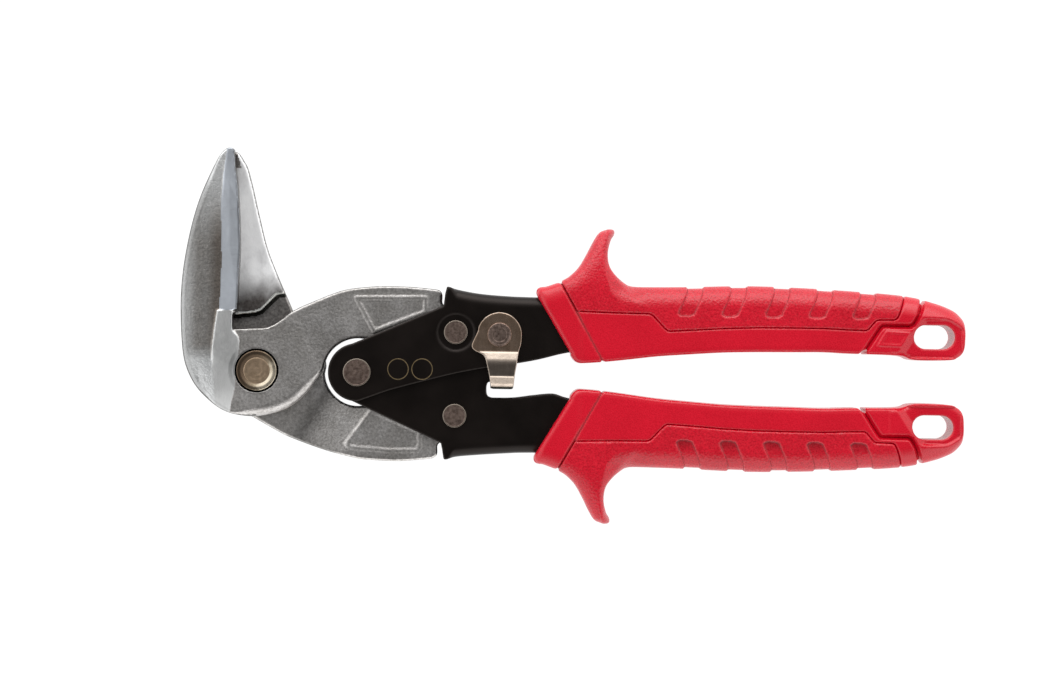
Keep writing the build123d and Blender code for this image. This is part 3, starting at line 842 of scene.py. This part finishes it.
def store_painted_shade(obj, amount):
    """Store painted shade for each point, from 0 to 1, for the materials that darken by it."""
    x, y, _ = tool_frame(read(obj.data.vertices, "co"))
    layer = obj.data.attributes.new("painted_shade", "FLOAT", "POINT")
    layer.data.foreach_set("value", np.clip(amount(x, y), 0, 1).astype(np.float32))


def near_painted_shade(x, y):
    """Painted shade on the near jaw: rounded rim, heel, lower rim of the boss, band, counterbore, crescent by
    the bolt, cutting edge and the bend of the arm.
    """
    plan = inside_map(upper_jaw_points(), x, y)
    rim = ramp(-1.3, -0.4, plan) * (0.1 + 0.4 * ramp(8.0, 11.0, y))
    rim = np.maximum(rim, 0.8 * ramp(-2.4, -1.0, plan) * ramp(-13.5, -16.0, x))
    heel = 0.5 * ramp(-2.0, -1.0, plan) * ramp(-4.0, -8.0, y) * ramp(-6.0, -9.0, x)
    boss = 0.3 * ramp(-2.2, -1.0, plan) * ramp(0.0, -3.0, y) * ramp(-4.0, 2.0, x) * ramp(24.0, 18.0, x)
    rim = np.maximum.reduce([rim, heel, boss])
    band = 0.3 * ramp(2.0, -4.0, y) * ramp(-6.0, -7.5, x) * ramp(-14.0, -12.0, x)
    bore = 0.7 * ramp(7.2, 6.8, np.hypot(x, y))
    crescent = 0.55 * ramp(8.7, 8.3, np.hypot(x, y)) * ramp(7.0, 7.5, np.hypot(x, y)) * ramp(-6.0, -6.8, x)
    edge = ramp(0.55, 0.3, line_map(CUTTING_EDGE, x, y)) * (0.4 + 0.55 * (y > 17.0))
    turn = arm_turn(x, y)
    joggle = 0.35 * ramp(-7.0, -3.0, turn) * ramp(9.5, 5.5, turn) * (y > -2)
    return np.maximum.reduce([rim * (line_map(CUTTING_EDGE, x, y) > 1.5), crescent, edge, band, bore, joggle])


def far_painted_shade(x, y):
    """Painted shade on the far jaw: where its arm rises beside the boss, and a painted shadow under the step.
    """
    along = 0.85 * x - 0.52 * y
    joggle = 0.8 * ramp(16.0, 22.0, along) * ramp(36.0, 30.0, along) * (y < 0)
    below = below_step(x, y)
    return np.maximum(joggle, ramp(3.0, 0.9, below) * (below > 0.1) * ramp(6.0, -1.0, x) * (y > 11))


def make_jaws():
    """Both forgings, each with its machined faces and its painted light and shade."""
    near = carve("upper_jaw_forging", upper_jaw_points(), -TAIL_HALF, 5.4, upper_jaw_shape, FINE)
    finish_piece(near, "upper_jaw", STEEL, ["upper_jaw"])
    paint(near, WING, lambda x, y, z: (x < np.where(y > 18, strip_ridge(y), band_left(y)) - 0.1) & (z > 0))
    paint(near, GROUND, lambda x, y, z: (y > 18.0) & (x > strip_ridge(y) - 0.1) & (x < -2) & (z > 1.5))
    paint(near, SATIN, lambda x, y, z: on_band(x, y) & (z > 3.0))
    # Painted shade on the near jaw's rims, bore, crescent by the bolt, cutting edge and arm bend.
    store_painted_shade(near, near_painted_shade)
    # Upright walls painted dark as painted shade.
    paint_walls(near, WALL_SHADE, lambda x, y: (y < 0) & (x > 0))
    paint(near, SHADE, lambda x, y, z: (np.hypot(x, y) < 6.6) & (z > 2.5))
    far = carve("lower_jaw_forging", lower_jaw_points(), -JAW_T, TAIL_HALF + 0.4, lower_jaw_shape)
    finish_piece(far, "lower_jaw", STEEL, ["lower_jaw"])

    def paint_blade(material, where):
        paint(far, material, lambda x, y, z: (y > 11) & (z > -4.4) & where(x, y, below_step(x, y)))

    paint_blade(POLISHED, lambda x, y, below: (y > 14) & (below < 0.1))
    # Painted shade on the sunken relief below the step.
    paint_blade(DARK_STEEL, lambda x, y, below: (below > 0.1) & (x < 10.5))
    # A painted highlight on the bevel along the step.
    paint_blade(CHAMFER_HIGHLIGHT, lambda x, y, below: (abs(below + 0.3) < 0.4) & (x > -6.9))
    paint_blade(SHADE, lambda x, y, below: (below > 0.1) & (below < 1.1))
    paint_blade(DARK_STEEL, lambda x, y, below: (y > 61) & (x < -6.6 - 0.3 * (y - 63)))
    # Painted shade where the far jaw's arm rises, and a painted shadow under the step.
    store_painted_shade(far, far_painted_shade)
    # Upright walls painted dark as painted shade.
    paint_walls(far, WALL_SHADE, lambda x, y: (y < -24) & (x > 24))


# ------------------------------------------------------------ handles


def upper_channel_points():
    """Outline of the outer channel's side."""
    return outline(
        arc(HANDLE_PIVOT, NOSE_R, 101, 272, 48),
        smooth([(40, -5.2), (50, -2.4), (60, 0.2), (68.9, 2.0), (78.1, 3.5), (84.6, 4.8), (92.9, 6.9),
                (104, 8.6)]),
        [(176, 11.4), (176, 22.4)],
        smooth([(150, 22.6), (120, 22.9), (83.8, 23.4), (75, 23.6), (66.5, 24.2), (60, 25.3), (57.4, 26.1)]),
        [(56.7, 26.1), (56.2, 24.0), (56.0, 22.1), (55.8, 20.4)],
    )


def lower_channel_points():
    """Outline of the inner channel's side, with the latch's tooth."""
    return outline(
        arc(HANDLE_PIVOT, NOSE_R, 88, 259, 48),
        [(55.6, -20.8), (56.0, -22.6), (56.5, -25.7)],
        smooth([(57.4, -25.7), (60, -24.95), (65, -24.4), (75, -23.65), (83.8, -23.3), (120, -22.9),
                (150, -22.6)]),
        [(176, -22.4), (176, -11.4)],
        smooth([(104, -8.6), (96, -7.2), (92.3, -6.4), (88.8, -5.45), (83.1, -6.0), (76.9, -6.85),
                (70.6, -7.0)]),
        smooth([(70.6, -7.0), (69.5, -6.6), (69.0, -5.6), (68.95, -3.6), (69.3, -2.4)], 5),
        arc(LATCH_PIVOT, 14.4, 259, 273, 8),
        smooth([(74.4, -1.5), (74.4, 2.4), (72.4, 3.7), (68, 3.6), (62, 2.6), (56, 2.4), (50, 3.0),
                (40, 5.4)]),
    )


def channel_shape(points, back, inner, outer, bores, dimple=None):
    """Field of a pressed channel: two sides joined by a folded back at the edge 'back'."""
    front, fold_y, open_y = back[0][0], back[0][1], -back[-1][1]
    void = outline(back, [(200, open_y), (0, open_y), (0, fold_y * 2), (front, fold_y * 2)])

    def shape(x, y, z):
        plan = inside_map(points, x, y)
        fold = ramp(57.5, 60.0, x) * ramp(7.0, 2.5, line_map([(57, fold_y), *back], x, y))
        side = np.abs(z)
        sink_out, sink_in = 0.0, 0.0
        if dimple:
            sink_out = COINING * slope(5.8, 5.3, disc_map(dimple, 0, x, y))
            sink_in = COINING * ramp(7.4, 6.4, disc_map(dimple, 0, x, y))
        body = rounded(plan, side - (outer - sink_out), 0.3 + 3.0 * fold)
        space = rounded(inside_map(void, x, y), side - (inner - sink_in), 0.5)
        body = np.maximum(body, -space)
        for centre, radius, low in bores:
            body = np.maximum(body, -np.maximum(disc_map(centre, radius, x, y), low - z))
        return body

    return shape


def make_handles():
    """Both pressed channels, bored for their rivets."""
    through = -2 * UPPER_OUT
    handle_bore = (HANDLE_PIVOT, HANDLE_RIVET[0] + 0.1, through)
    upper_back = [(57.2, 24.4), (60, 23.7), (66.5, 22.6), (83.8, 21.8), (120, 21.3), (200, 20.7)]
    link_r = LINK_RIVET[0] + RUNNING
    upper_bores = [handle_bore, (UPPER_LINK, link_r, through), (LATCH_PIVOT, LATCH_RIVET_R + 0.05, 0.0)]
    shape = channel_shape(upper_channel_points(), upper_back, UPPER_IN, UPPER_OUT, upper_bores, UPPER_LINK)
    upper = carve("upper_channel", upper_channel_points(), -UPPER_OUT, UPPER_OUT, shape, COARSE)
    finish_piece(upper, "upper_handle", BLACK, ["upper_handle"])
    lower_back = [(57.2, -24.1), (60, -23.4), (66.5, -22.7), (83.8, -21.7), (120, -21.3), (200, -20.7)]
    lower_bores = [handle_bore, (LOWER_LINK, link_r, through)]
    shape = channel_shape(lower_channel_points(), lower_back, LOWER_IN, LOWER_OUT, lower_bores)
    lower = carve("lower_channel", lower_channel_points(), -LOWER_OUT, LOWER_OUT, shape, COARSE)
    finish_piece(lower, "lower_handle", BLACK, ["lower_handle"])


# ---------------------------------------------------------- fasteners


def rivet_profile(shank, head, face, thick):
    """Half section of a rivet with a low bevelled head at each end."""
    top = [(shank, face), (head, face), (head, face + thick - 0.3), (head - 0.1, face + thick - 0.08),
           (head - 0.3, face + thick), (head - 0.42, face + thick), (head - 0.55, face + thick - 0.06),
           (head * 0.5, face + thick - 0.04), (0, face + thick - 0.02)]
    return [(r, -z) for r, z in reversed(top)] + top


def tube_profile(inner, outer, low, high, edge=0.15):
    """Section of a plain ring with small chamfers."""
    bottom = [(inner, low), (outer - edge, low), (outer, low + edge)]
    return [*bottom, (outer, high - edge), (outer - edge, high), (inner, high)]


def mirrored(section):
    """A section turned over to the far side."""
    return [(r, -z) for r, z in reversed(section)]


def merge(target, extra):
    """Add another object's mesh to target and remove the object."""
    joined = bmesh.new()
    for obj in (target, extra):
        joined.from_mesh(obj.data)
    joined.to_mesh(target.data)
    joined.free()
    bpy.data.objects.remove(extra)
    return target


def make_rivet(node, centre, radii, face, thick, body):
    """A rivet through a handle, with a lighter ring round each head as a painted highlight."""
    shank, head = radii
    piece = lathe(node + "_turned", centre, rivet_profile(shank, head, face, thick))
    finish_piece(piece, body, RIVET, [node])
    rim = head - 0.43
    # A painted highlight ring round the outer part of each head.
    paint(piece, BARE_AND_HIGHLIGHT, lambda x, y, z: (disc_map(centre, rim, x, y) > 0) & (abs(z) > face + 0.3))


def make_ring(node, centre, section, body, material=RIVET):
    """A washer or spacer."""
    finish_piece(lathe(node + "_turned", centre, section), body, material, [node])


def make_bolt():
    """The pivot bolt, dished at its rim, and the washer under its nut."""
    section = [(0, -9.0), (3.6, -9.0), (4.0, -8.6), (4.0, 3.0), (6.0, 3.0), (6.1, 3.1), (6.1, 4.5),
               (5.98, 4.8), (5.8, 4.97), (5.6, 5.0), (5.0, 4.96), (4.75, 4.89), (4.1, 4.66), (3.97, 4.6),
               (3.87, 4.6), (3.72, 4.67), (2.7, 4.65), (2.6, 4.63), (1.6, 4.63), (1.4, 4.6), (0.9, 4.58),
               (0.7, 4.61), (0, 4.6)]
    bolt = lathe("pivot_bolt_turned", JAW_PIVOT, section)
    finish_piece(bolt, "upper_jaw", BOLT, ["pivot_bolt"])
    paint(bolt, BOLT_RIM, lambda x, y, z: (np.hypot(x, y) > 3.95) & (z > 4.0))
    paint(bolt, SHADE, lambda x, y, z: (np.hypot(x, y) > 5.93) & (z > 3.0))
    make_ring("pivot_washer", JAW_PIVOT, tube_profile(BOLT_BORE_R, 7.6, -6.2, -5.3), "upper_jaw")


def nut_shape(x, y, z):
    """Hexagonal nut with bevelled corners round the bolt's thread."""
    faces = [np.abs(x * math.cos(a) + y * math.sin(a)) - 6.5 for a in np.radians((0, 60, 120))]
    corner = np.hypot(x, y) - 7.35 + np.maximum(-8.3 - z, 0) * 1.2
    body = np.maximum(np.maximum(np.maximum.reduce(faces), np.abs(z + 7.6) - 1.4), corner)
    return np.maximum(body, 4.0 - np.hypot(x, y))


def make_nut():
    """The lock nut on the pivot bolt's far end."""
    nut = carve("pivot_nut_hexagon", arc(JAW_PIVOT, 7.6, 0, 360), -9.0, -6.2, nut_shape, 0.3)
    finish_piece(nut, "upper_jaw", RIVET, ["pivot_nut"])


def make_spring():
    """Torsion spring round the spacer, with a straight leg along each handle."""
    x, radius, low, high, leg = HANDLE_PIVOT[0], 6.2, -1.5, 1.5, 46.0
    turns = [(x + radius * math.sin(a), radius * math.cos(a), low + a / (2 * math.pi))
             for a in np.linspace(0, 5 * math.pi, 110)]
    near, far = [(leg, radius, low), (36.0, radius, low)], [(36.0, -radius, high), (leg, -radius, high)]
    wire = tube("opening_spring_wire", [*near, *turns, *far], 0.8)
    finish_piece(wire, "upper_handle", WIRE, ["opening_spring"])


def make_fasteners():
    """Rivets, bolt, spacer, washers, nut, spring and the two etched rings."""
    make_rivet("handle_rivet", HANDLE_PIVOT, HANDLE_RIVET, UPPER_OUT, 0.9, "upper_handle")
    make_rivet("upper_link_rivet", UPPER_LINK, LINK_RIVET, UPPER_OUT - COINING, 0.85, "upper_handle")
    make_rivet("lower_link_rivet", LOWER_LINK, LINK_RIVET, LOWER_OUT, 1.0, "lower_handle")
    make_bolt()
    spacer = tube_profile(HANDLE_RIVET[0] + RUNNING, 5.0, -LOWER_IN, LOWER_IN)
    make_ring("handle_spacer", HANDLE_PIVOT, spacer, "lower_handle", WIRE)
    make_ring("latch_washer", LATCH_PIVOT, tube_profile(LATCH_RIVET_R, 4.6, 4.3, UPPER_IN), "upper_handle")
    for side, centre, face in (("upper", UPPER_LINK, UPPER_IN - COINING), ("lower", LOWER_LINK, LOWER_IN)):
        node = f"{side}_link_washers"
        ring = tube_profile(LINK_RIVET[0], 5.2, TAIL_HALF + 0.1, face - 0.1, 0.08)
        pair = merge(lathe(node + "_turned", centre, ring), lathe(node + "_far", centre, mirrored(ring)))
        finish_piece(pair, f"{side}_handle", RIVET, [node])
    make_nut()
    make_spring()
    ring = tube_profile(2.95, 3.2, UPPER_OUT - 0.2, UPPER_OUT + 0.03, 0.02)
    marks = merge(lathe("etched_rings", (42.5, 1.2), ring), lathe("second_ring", (49.7, 1.3), ring))
    finish_piece(marks, "upper_handle", ETCHED, [])


# -------------------------------------------------------------- latch


def latch_points():
    """Outline of the latch: disc and flared tab."""
    return outline(
        arc(LATCH_PIVOT, 6.7, 0, 161, 40),
        smooth([(66.2, 13.0), (64.6, 9.4), (64.5, 8.1), (65.4, 7.1), (68.1, 5.6), (69.2, 2.3), (69.8, -0.4),
                (70.3, -3.4), (70.9, -4.2)]),
        smooth([(76.6, -4.2), (77.1, -3.5), (77.5, 0), (78.0, 3.1), (78.65, 7.3), (79.2, 9.2), (79.4, 12.0)]),
    )


BEND_Y = np.arange(-8.0, 22.0, 0.1)
BEND_RISE = 0.40 * np.clip(6.9 - BEND_Y, 0, 2.5) + 0.27 * (1 - (1 - np.clip((4.4 - BEND_Y) / 1.5, 0, 1)) ** 2)
BEND_Z = BEND_RISE + 0.36 * np.clip(-0.4 - BEND_Y, 0, 3.8) + 0.03 * np.clip(-2.4 - BEND_Y, 0, 1.0) ** 2


def latch_shape(x, y, z):
    """Bent latch sheet as a field."""
    plan = inside_map(latch_points(), x, y)
    plan = np.maximum(plan, -disc_map(LATCH_PIVOT, 2.25, x, y))
    bottom = LATCH_BOTTOM + np.interp(y, BEND_Y, BEND_Z)
    flat = 1 / np.sqrt(1 + np.gradient(bottom, y[0, :, 0], axis=1) ** 2)
    half = LATCH_T / 2
    sheet = rounded(plan, np.abs(z - bottom - half / flat) * flat - half, 0.25)
    finger = np.maximum(np.abs(x - 71.0) - 0.8, np.abs(y + 3.4) - 0.7)
    finger = rounded(finger, np.abs(z - 7.0) - 1.8, 0.2)
    return np.minimum(sheet, finger)


def make_latch():
    """The latch, bare on its bent tab, and its rivet."""
    piece = carve("latch_sheet", latch_points(), 5.2, 12.2, latch_shape, 0.25)
    finish_piece(piece, "latch", NICKEL, ["latch"])
    paint(piece, BARE_AND_HIGHLIGHT, lambda x, y, z: y < 6.85)
    paint_tilts(piece, BARE_AND_HIGHLIGHT, 0.25, 0.94, lambda x, y, z: (y > 6.85) & (z > 8))
    paint(piece, SHADE, lambda x, y, z: y < -3.45)
    top = LATCH_BOTTOM + LATCH_T
    shank = LATCH_RIVET_R
    section = [(0, 3.5), (3.0, 3.5), (3.0, 4.3), (shank, 4.3), (shank, top + 0.1), (3.6, top + 0.1),
               (3.6, top + 0.75), (3.5, top + 0.92), (3.3, top + 1.0), (3.15, top + 1.0), (3.0, top + 0.93),
               (2.2, top + 0.95), (2.1, top + 0.9), (0, top + 0.92)]
    rivet = lathe("latch_rivet_turned", LATCH_PIVOT, section)
    finish_piece(rivet, "upper_handle", RIVET, ["latch_rivet"])


# -------------------------------------------------------------- grips


def grip_points():
    """Outline of the upper grip."""
    return outline(
        [(84.1, 23.2), (94.05, 6.6)],
        smooth([(94.1, 5.95), (95, 4.8), (96.1, 4.05), (97.7, 3.9), (103.2, 4.3), (110, 5.05), (120, 6.3),
                (130, 7.1), (140, 7.8), (150, 8.1), (160, 8.25), (170, 8.4), (178, 8.1), (192, 7.8),
                (196, 6.7), (200, 6.45), (207.5, 6.7), (209.7, 7.4), (211, 8.5), (211.7, 10.5), (211.9, 13),
                (211.9, 17), (211.5, 18.6), (210.5, 20), (209, 21.3), (206.5, 22.5), (204, 23.4), (200, 24.5),
                (196, 25.4),
                (189, 26.2), (176, 27), (163, 27.6), (147, 27.9), (128, 27.3), (118, 27.1), (114, 27.1),
                (111.8, 27.3), (110.2, 27.9), (107.3, 30.2), (105.2, 33.2), (104.7, 37.1), (105.5, 40.7),
                (106.4, 42.3), (106.8, 43.3), (106.55, 44.05), (105.6, 44.35), (103.6, 43.95), (101.8, 42.9),
                (100, 40), (98.2, 36.4), (95.9, 32.5), (93.2, 29.8), (91.4, 28.7), (90.5, 28.0), (89.3, 27.7),
                (86.4, 26.7), (84.5, 26.4), (83.6, 25.6), (83.45, 24.6)], 5),
    )


COLLAR_GROOVE = [(89.9, 29.5), (104.4, 3.2)]
PANEL_GROOVE = [(96.8, 19.4), (107.3, 19.1), (117.4, 19.0), (118.4, 18.5), (122.3, 14.4), (123.2, 13.9),
                (130, 14.3), (140, 15.0), (150, 15.4), (160, 15.5), (170, 15.5), (177.5, 15.2), (182, 15.1),
                (182.8, 15.5), (184.8, 17.9), (185.5, 18.3), (190.5, 18.4), (191.3, 18.9), (192.0, 20.3),
                (194.6, 28)]
CAP_GROOVE = [(180.0, 6.5), (181.9, 9), (186.1, 15.6), (187, 16.6), (195.2, 16.6), (196.2, 17.1),
              (197.7, 19.6), (198.9, 23), (199.9, 27)]
HORN_CREASE = [(22.0, 108.3), (25.9, 105.4), (31.4, 103.8), (37.6, 103.5), (43.7, 104.2)]
SLOT_CENTRE = (202.6, 13.5)


def recess_maps(x, side):
    """Signed distance to each of the five shallow slanted recesses along the outer edge."""
    return [inside_map(recess_points(number), x, side) for number in range(5)]


def recess_points(number):
    """Outline of one recess."""
    x = 125.9 + 13.0 * number
    return outline(
        smooth([(x + 2.9, 33.0), (x + 2.6, 26.0), (x + 0.2, 20.0), (x + 0.3, 18.9), (x + 1.2, 18.4)], 4),
        smooth([(x + 3.6, 18.5), (x + 4.8, 19.0), (x + 5.4, 20.2), (x + 7.6, 26.0), (x + 8.2, 33.0)], 4),
    )


def grip_carving(x, y, plan, upper):
    """How deep each feature is cut into the grip's skin."""
    cut = 0.5 * slope(0.5, 0.2, line_map(COLLAR_GROOVE, x, y))
    cut = np.maximum(cut, 0.5 * slope(0.4, 0.1, line_map(PANEL_GROOVE, x, y)))
    cut = np.maximum(cut, 1.3 * slope(0.85, 0.5, line_map(CAP_GROOVE, x, y)))
    flat = ramp(-0.6, -1.2, plan) * slope(190, 189, x)
    cut = np.maximum(cut, 0.25 * slope(-0.1, 0.1, inside_map(COVER_REGION, x, y)) * slope(96, 98, x) * flat)
    for recess in recess_maps(x, y):
        cut = np.maximum(cut, 0.5 * slope(0.15, -0.15, recess))
    if upper:
        pad = [(185.4, 10.6), (188.0, 15.1), (195.2, 14.7), (192.7, 10.4)]
        inside = inside_map(pad, x, y)
        cut = cut - 0.38 * slope(0.25, -0.15, inside) + 0.2 * slope(-0.5, -0.9, inside)
    return cut


def shoulder(distance, width, height):
    """Drop of a rounded shoulder that starts this far from an edge."""
    part = np.clip(1 - distance / width, 0, 1)
    return height * (1 - np.sqrt(1 - part**2))


def grip_rim(x, side):
    """Radius of the rounded outer edge, wide along the hand side."""
    front = ramp(114.0, 108.5, x + 0.3 * (side - 24))
    return 1.7 + 4.8 * ramp(14.0, 21.0, side) * (1 - front)


HORN_FRONT = [(83.4, 24.6), (84.5, 26.4), (86.4, 26.7), (89.3, 27.7), (93.2, 29.8), (95.9, 32.5),
              (98.2, 36.4), (100, 40), (101.8, 42.9), (103.6, 43.95), (105.6, 44.35)]


def grip_half(x, side):
    """Half thickness: the horn thins towards its tip and the end is stepped down round the slot."""
    half = GRIP_HALF - 3.4 * ramp(26.0, 50.0, side) * ramp(120.0, 112.0, x)
    crease = np.interp(side, *zip(*HORN_CREASE))
    half = half - shoulder(line_map(HORN_FRONT, x, side), 5.5, 3.2) * slope(0.4, -0.4, x - crease)
    half = half - 0.5 * np.maximum(x - crease, 0) * ramp(21.0, 27.0, side) * ramp(117.0, 108.0, x)
    across = slope(-1.1, 1.1, side_map((192.3, 7.8), (196.9, 14.8), x, side))
    under = slope(19.3, 18.3, side + 0.25 * np.maximum(x - 206, 0) ** 1.5)
    return half - 1.3 * across * under * slope(211.4, 210.7, x) * slope(7.0, 7.5, side)


def grip_shape(region, upper):
    """Field of the part of a grip that lies in a region."""

    def shape(x, y, z):
        side = y if upper else -y
        plan = inside_map(grip_points(), x, side)
        solid = rounded(plan, np.abs(z) - grip_half(x, side), grip_rim(x, side))
        near = grip_carving(x, side, plan, upper)
        far = grip_carving(x, side, plan, False)
        solid = solid + np.where(z > 0, near, far)
        slot = np.hypot(np.maximum(np.abs(x - SLOT_CENTRE[0]) - 2.55, 0), side - SLOT_CENTRE[1]) - 3.6
        solid = np.maximum(solid, -slot)
        return np.maximum(solid, region(x, side))

    return shape


COVER_REGION = [(84.0, 60), (84, 40), (90.3, 28.8), (95.8, 19.4), *PANEL_GROOVE[1:], (196, 60)]
CAP_REGION = [(178.0, 4), (179.6, 6.5), *CAP_GROOVE[1:], (201, 60), (230, 60), (230, 0), (178, 0)]


def recess_painted_shade(x, side):
    """How much painted shade lies at the inner end of each recess."""
    inside = [ramp(0.1, -0.2, recess) for recess in recess_maps(x, side)]
    return np.maximum.reduce(inside) * ramp(23.0, 18.5, side)


def in_groove_shade(x, side):
    """Whether a point lies in the collar groove or just inside a recess's outline."""
    lines = [np.abs(recess + 0.2) < 0.13 for recess in recess_maps(x, side)]
    return np.logical_or.reduce([line_map(COLLAR_GROOVE, x, side) < 0.26, *lines])


def make_grips():
    """Core, sleeve and end cap of each grip, parted along the grooves."""
    def cover(x, y):
        return inside_map(COVER_REGION, x, y)

    def cap(x, y):
        return inside_map(CAP_REGION, x, y)

    def core(x, y):
        return np.maximum(-cover(x, y), -cap(x, y)) + 0.03

    parts = (("grip_core", core, SHELL, "grip_shell"), ("grip_sleeve", cover, COVER, "grip_cover"),
             ("grip_cap", cap, SHELL, "grip_shell"))
    # Painted shade at the recesses' inner ends: strong on the lower grip, faint on the upper.
    for side, way, shade_strength in (("upper", 1, 0.1), ("lower", -1, 0.9)):
        points = grip_points() * (1, way)
        for part, region, material, slot in parts:
            node = f"{side}_end_cap" if region is cap else f"{side}_{part}"
            shape = grip_shape(region, side == "upper")
            piece = carve(f"{side}_{part}_moulding", points, -GRIP_HALF, GRIP_HALF + 0.45, shape, 0.3, 0.5)
            finish_piece(piece, f"{side}_handle", material, [node])
            # Painted shade in the collar groove and just inside each recess's outline.
            paint(piece, GROOVE_SHADE, lambda x, y, z: in_groove_shade(x, way * y) & (abs(z) > 3))
            store_painted_shade(piece, lambda x, y: recess_painted_shade(x, way * y) * shade_strength)


# -------------------------------------------------------------- stage


def paper():
    """Bright white paper lit from below, as on a light table."""
    s = Shader("paper", Roughness=0.9, Emission_Strength=1.0)
    s.body.inputs["Emission Color"].default_value = (1, 1, 1, 1)
    s.set("Base Color", s.colours(s.noise(60, 2, 0.5), (0.0, (0.07, 0.07, 0.07)), (1.0, (0.08, 0.08, 0.08))))
    return s.material


def studio():
    """World light: a tent, white all round but for the dark opening overhead where the camera hangs."""
    world = bpy.data.worlds.new("studio")
    world.use_nodes = True
    tree = world.node_tree
    facing = tree.nodes.new("ShaderNodeVectorMath")
    facing.operation = "DOT_PRODUCT"
    facing.inputs[1].default_value = Vector((0.03, -0.15, 1.0)).normalized()
    tone = tree.nodes.new("ShaderNodeValToRGB")
    tree.links.new(tree.nodes.new("ShaderNodeTexCoord").outputs["Generated"], facing.inputs[0])
    tree.links.new(facing.outputs["Value"], tone.inputs["Fac"])
    tree.links.new(tone.outputs["Color"], tree.nodes["Background"].inputs["Color"])
    stops = ((0.0, 1.35), (0.55, 1.30), (0.75, 0.80), (0.9, 0.25), (1.0, 0.10))
    fill_ramp(tone.color_ramp, [(height, (light, light, light)) for height, light in stops])
    bpy.context.scene.world = world


def make_stage():
    """Pale floor, soft lights and a camera straight above."""
    corners = [(x, y, FLOOR_Z) for x, y in ((-900, -900), (1100, -900), (1100, 900), (-900, 900))]
    floor = mesh_object("floor", corners, [(0, 1, 2, 3)])
    floor.data.materials.append(paper())
    studio()

    def area(name, at, size, power):
        lamp = bpy.data.lights.new(name, "AREA")
        lamp.shape = "RECTANGLE"
        lamp.size, lamp.size_y = size
        lamp.energy = power
        obj = linked(name, lamp)
        obj.location = at
        aim = Vector((-0.01, 0.0, 0.0)) - Vector(at)
        obj.rotation_euler = aim.to_track_quat("-Z", "Y").to_euler()

    area("key", (-0.1, 1.0, 0.47), (1.6, 0.9), 8)
    area("fill", (0.1, -1.0, 0.47), (1.6, 0.9), 1.2)

    camera = bpy.data.cameras.new("camera")
    camera.sensor_width = 36
    camera.lens = 100.6
    obj = linked("camera", camera)
    obj.location = place([(*CAMERA_ABOVE, CAMERA_HEIGHT)])[0]
    obj.rotation_euler = (0, 0, math.radians(1.0))
    bpy.context.scene.camera = obj
    bpy.context.scene.view_settings.view_transform = "Standard"


make_jaws()
make_handles()
make_fasteners()
make_latch()
make_grips()
make_stage()
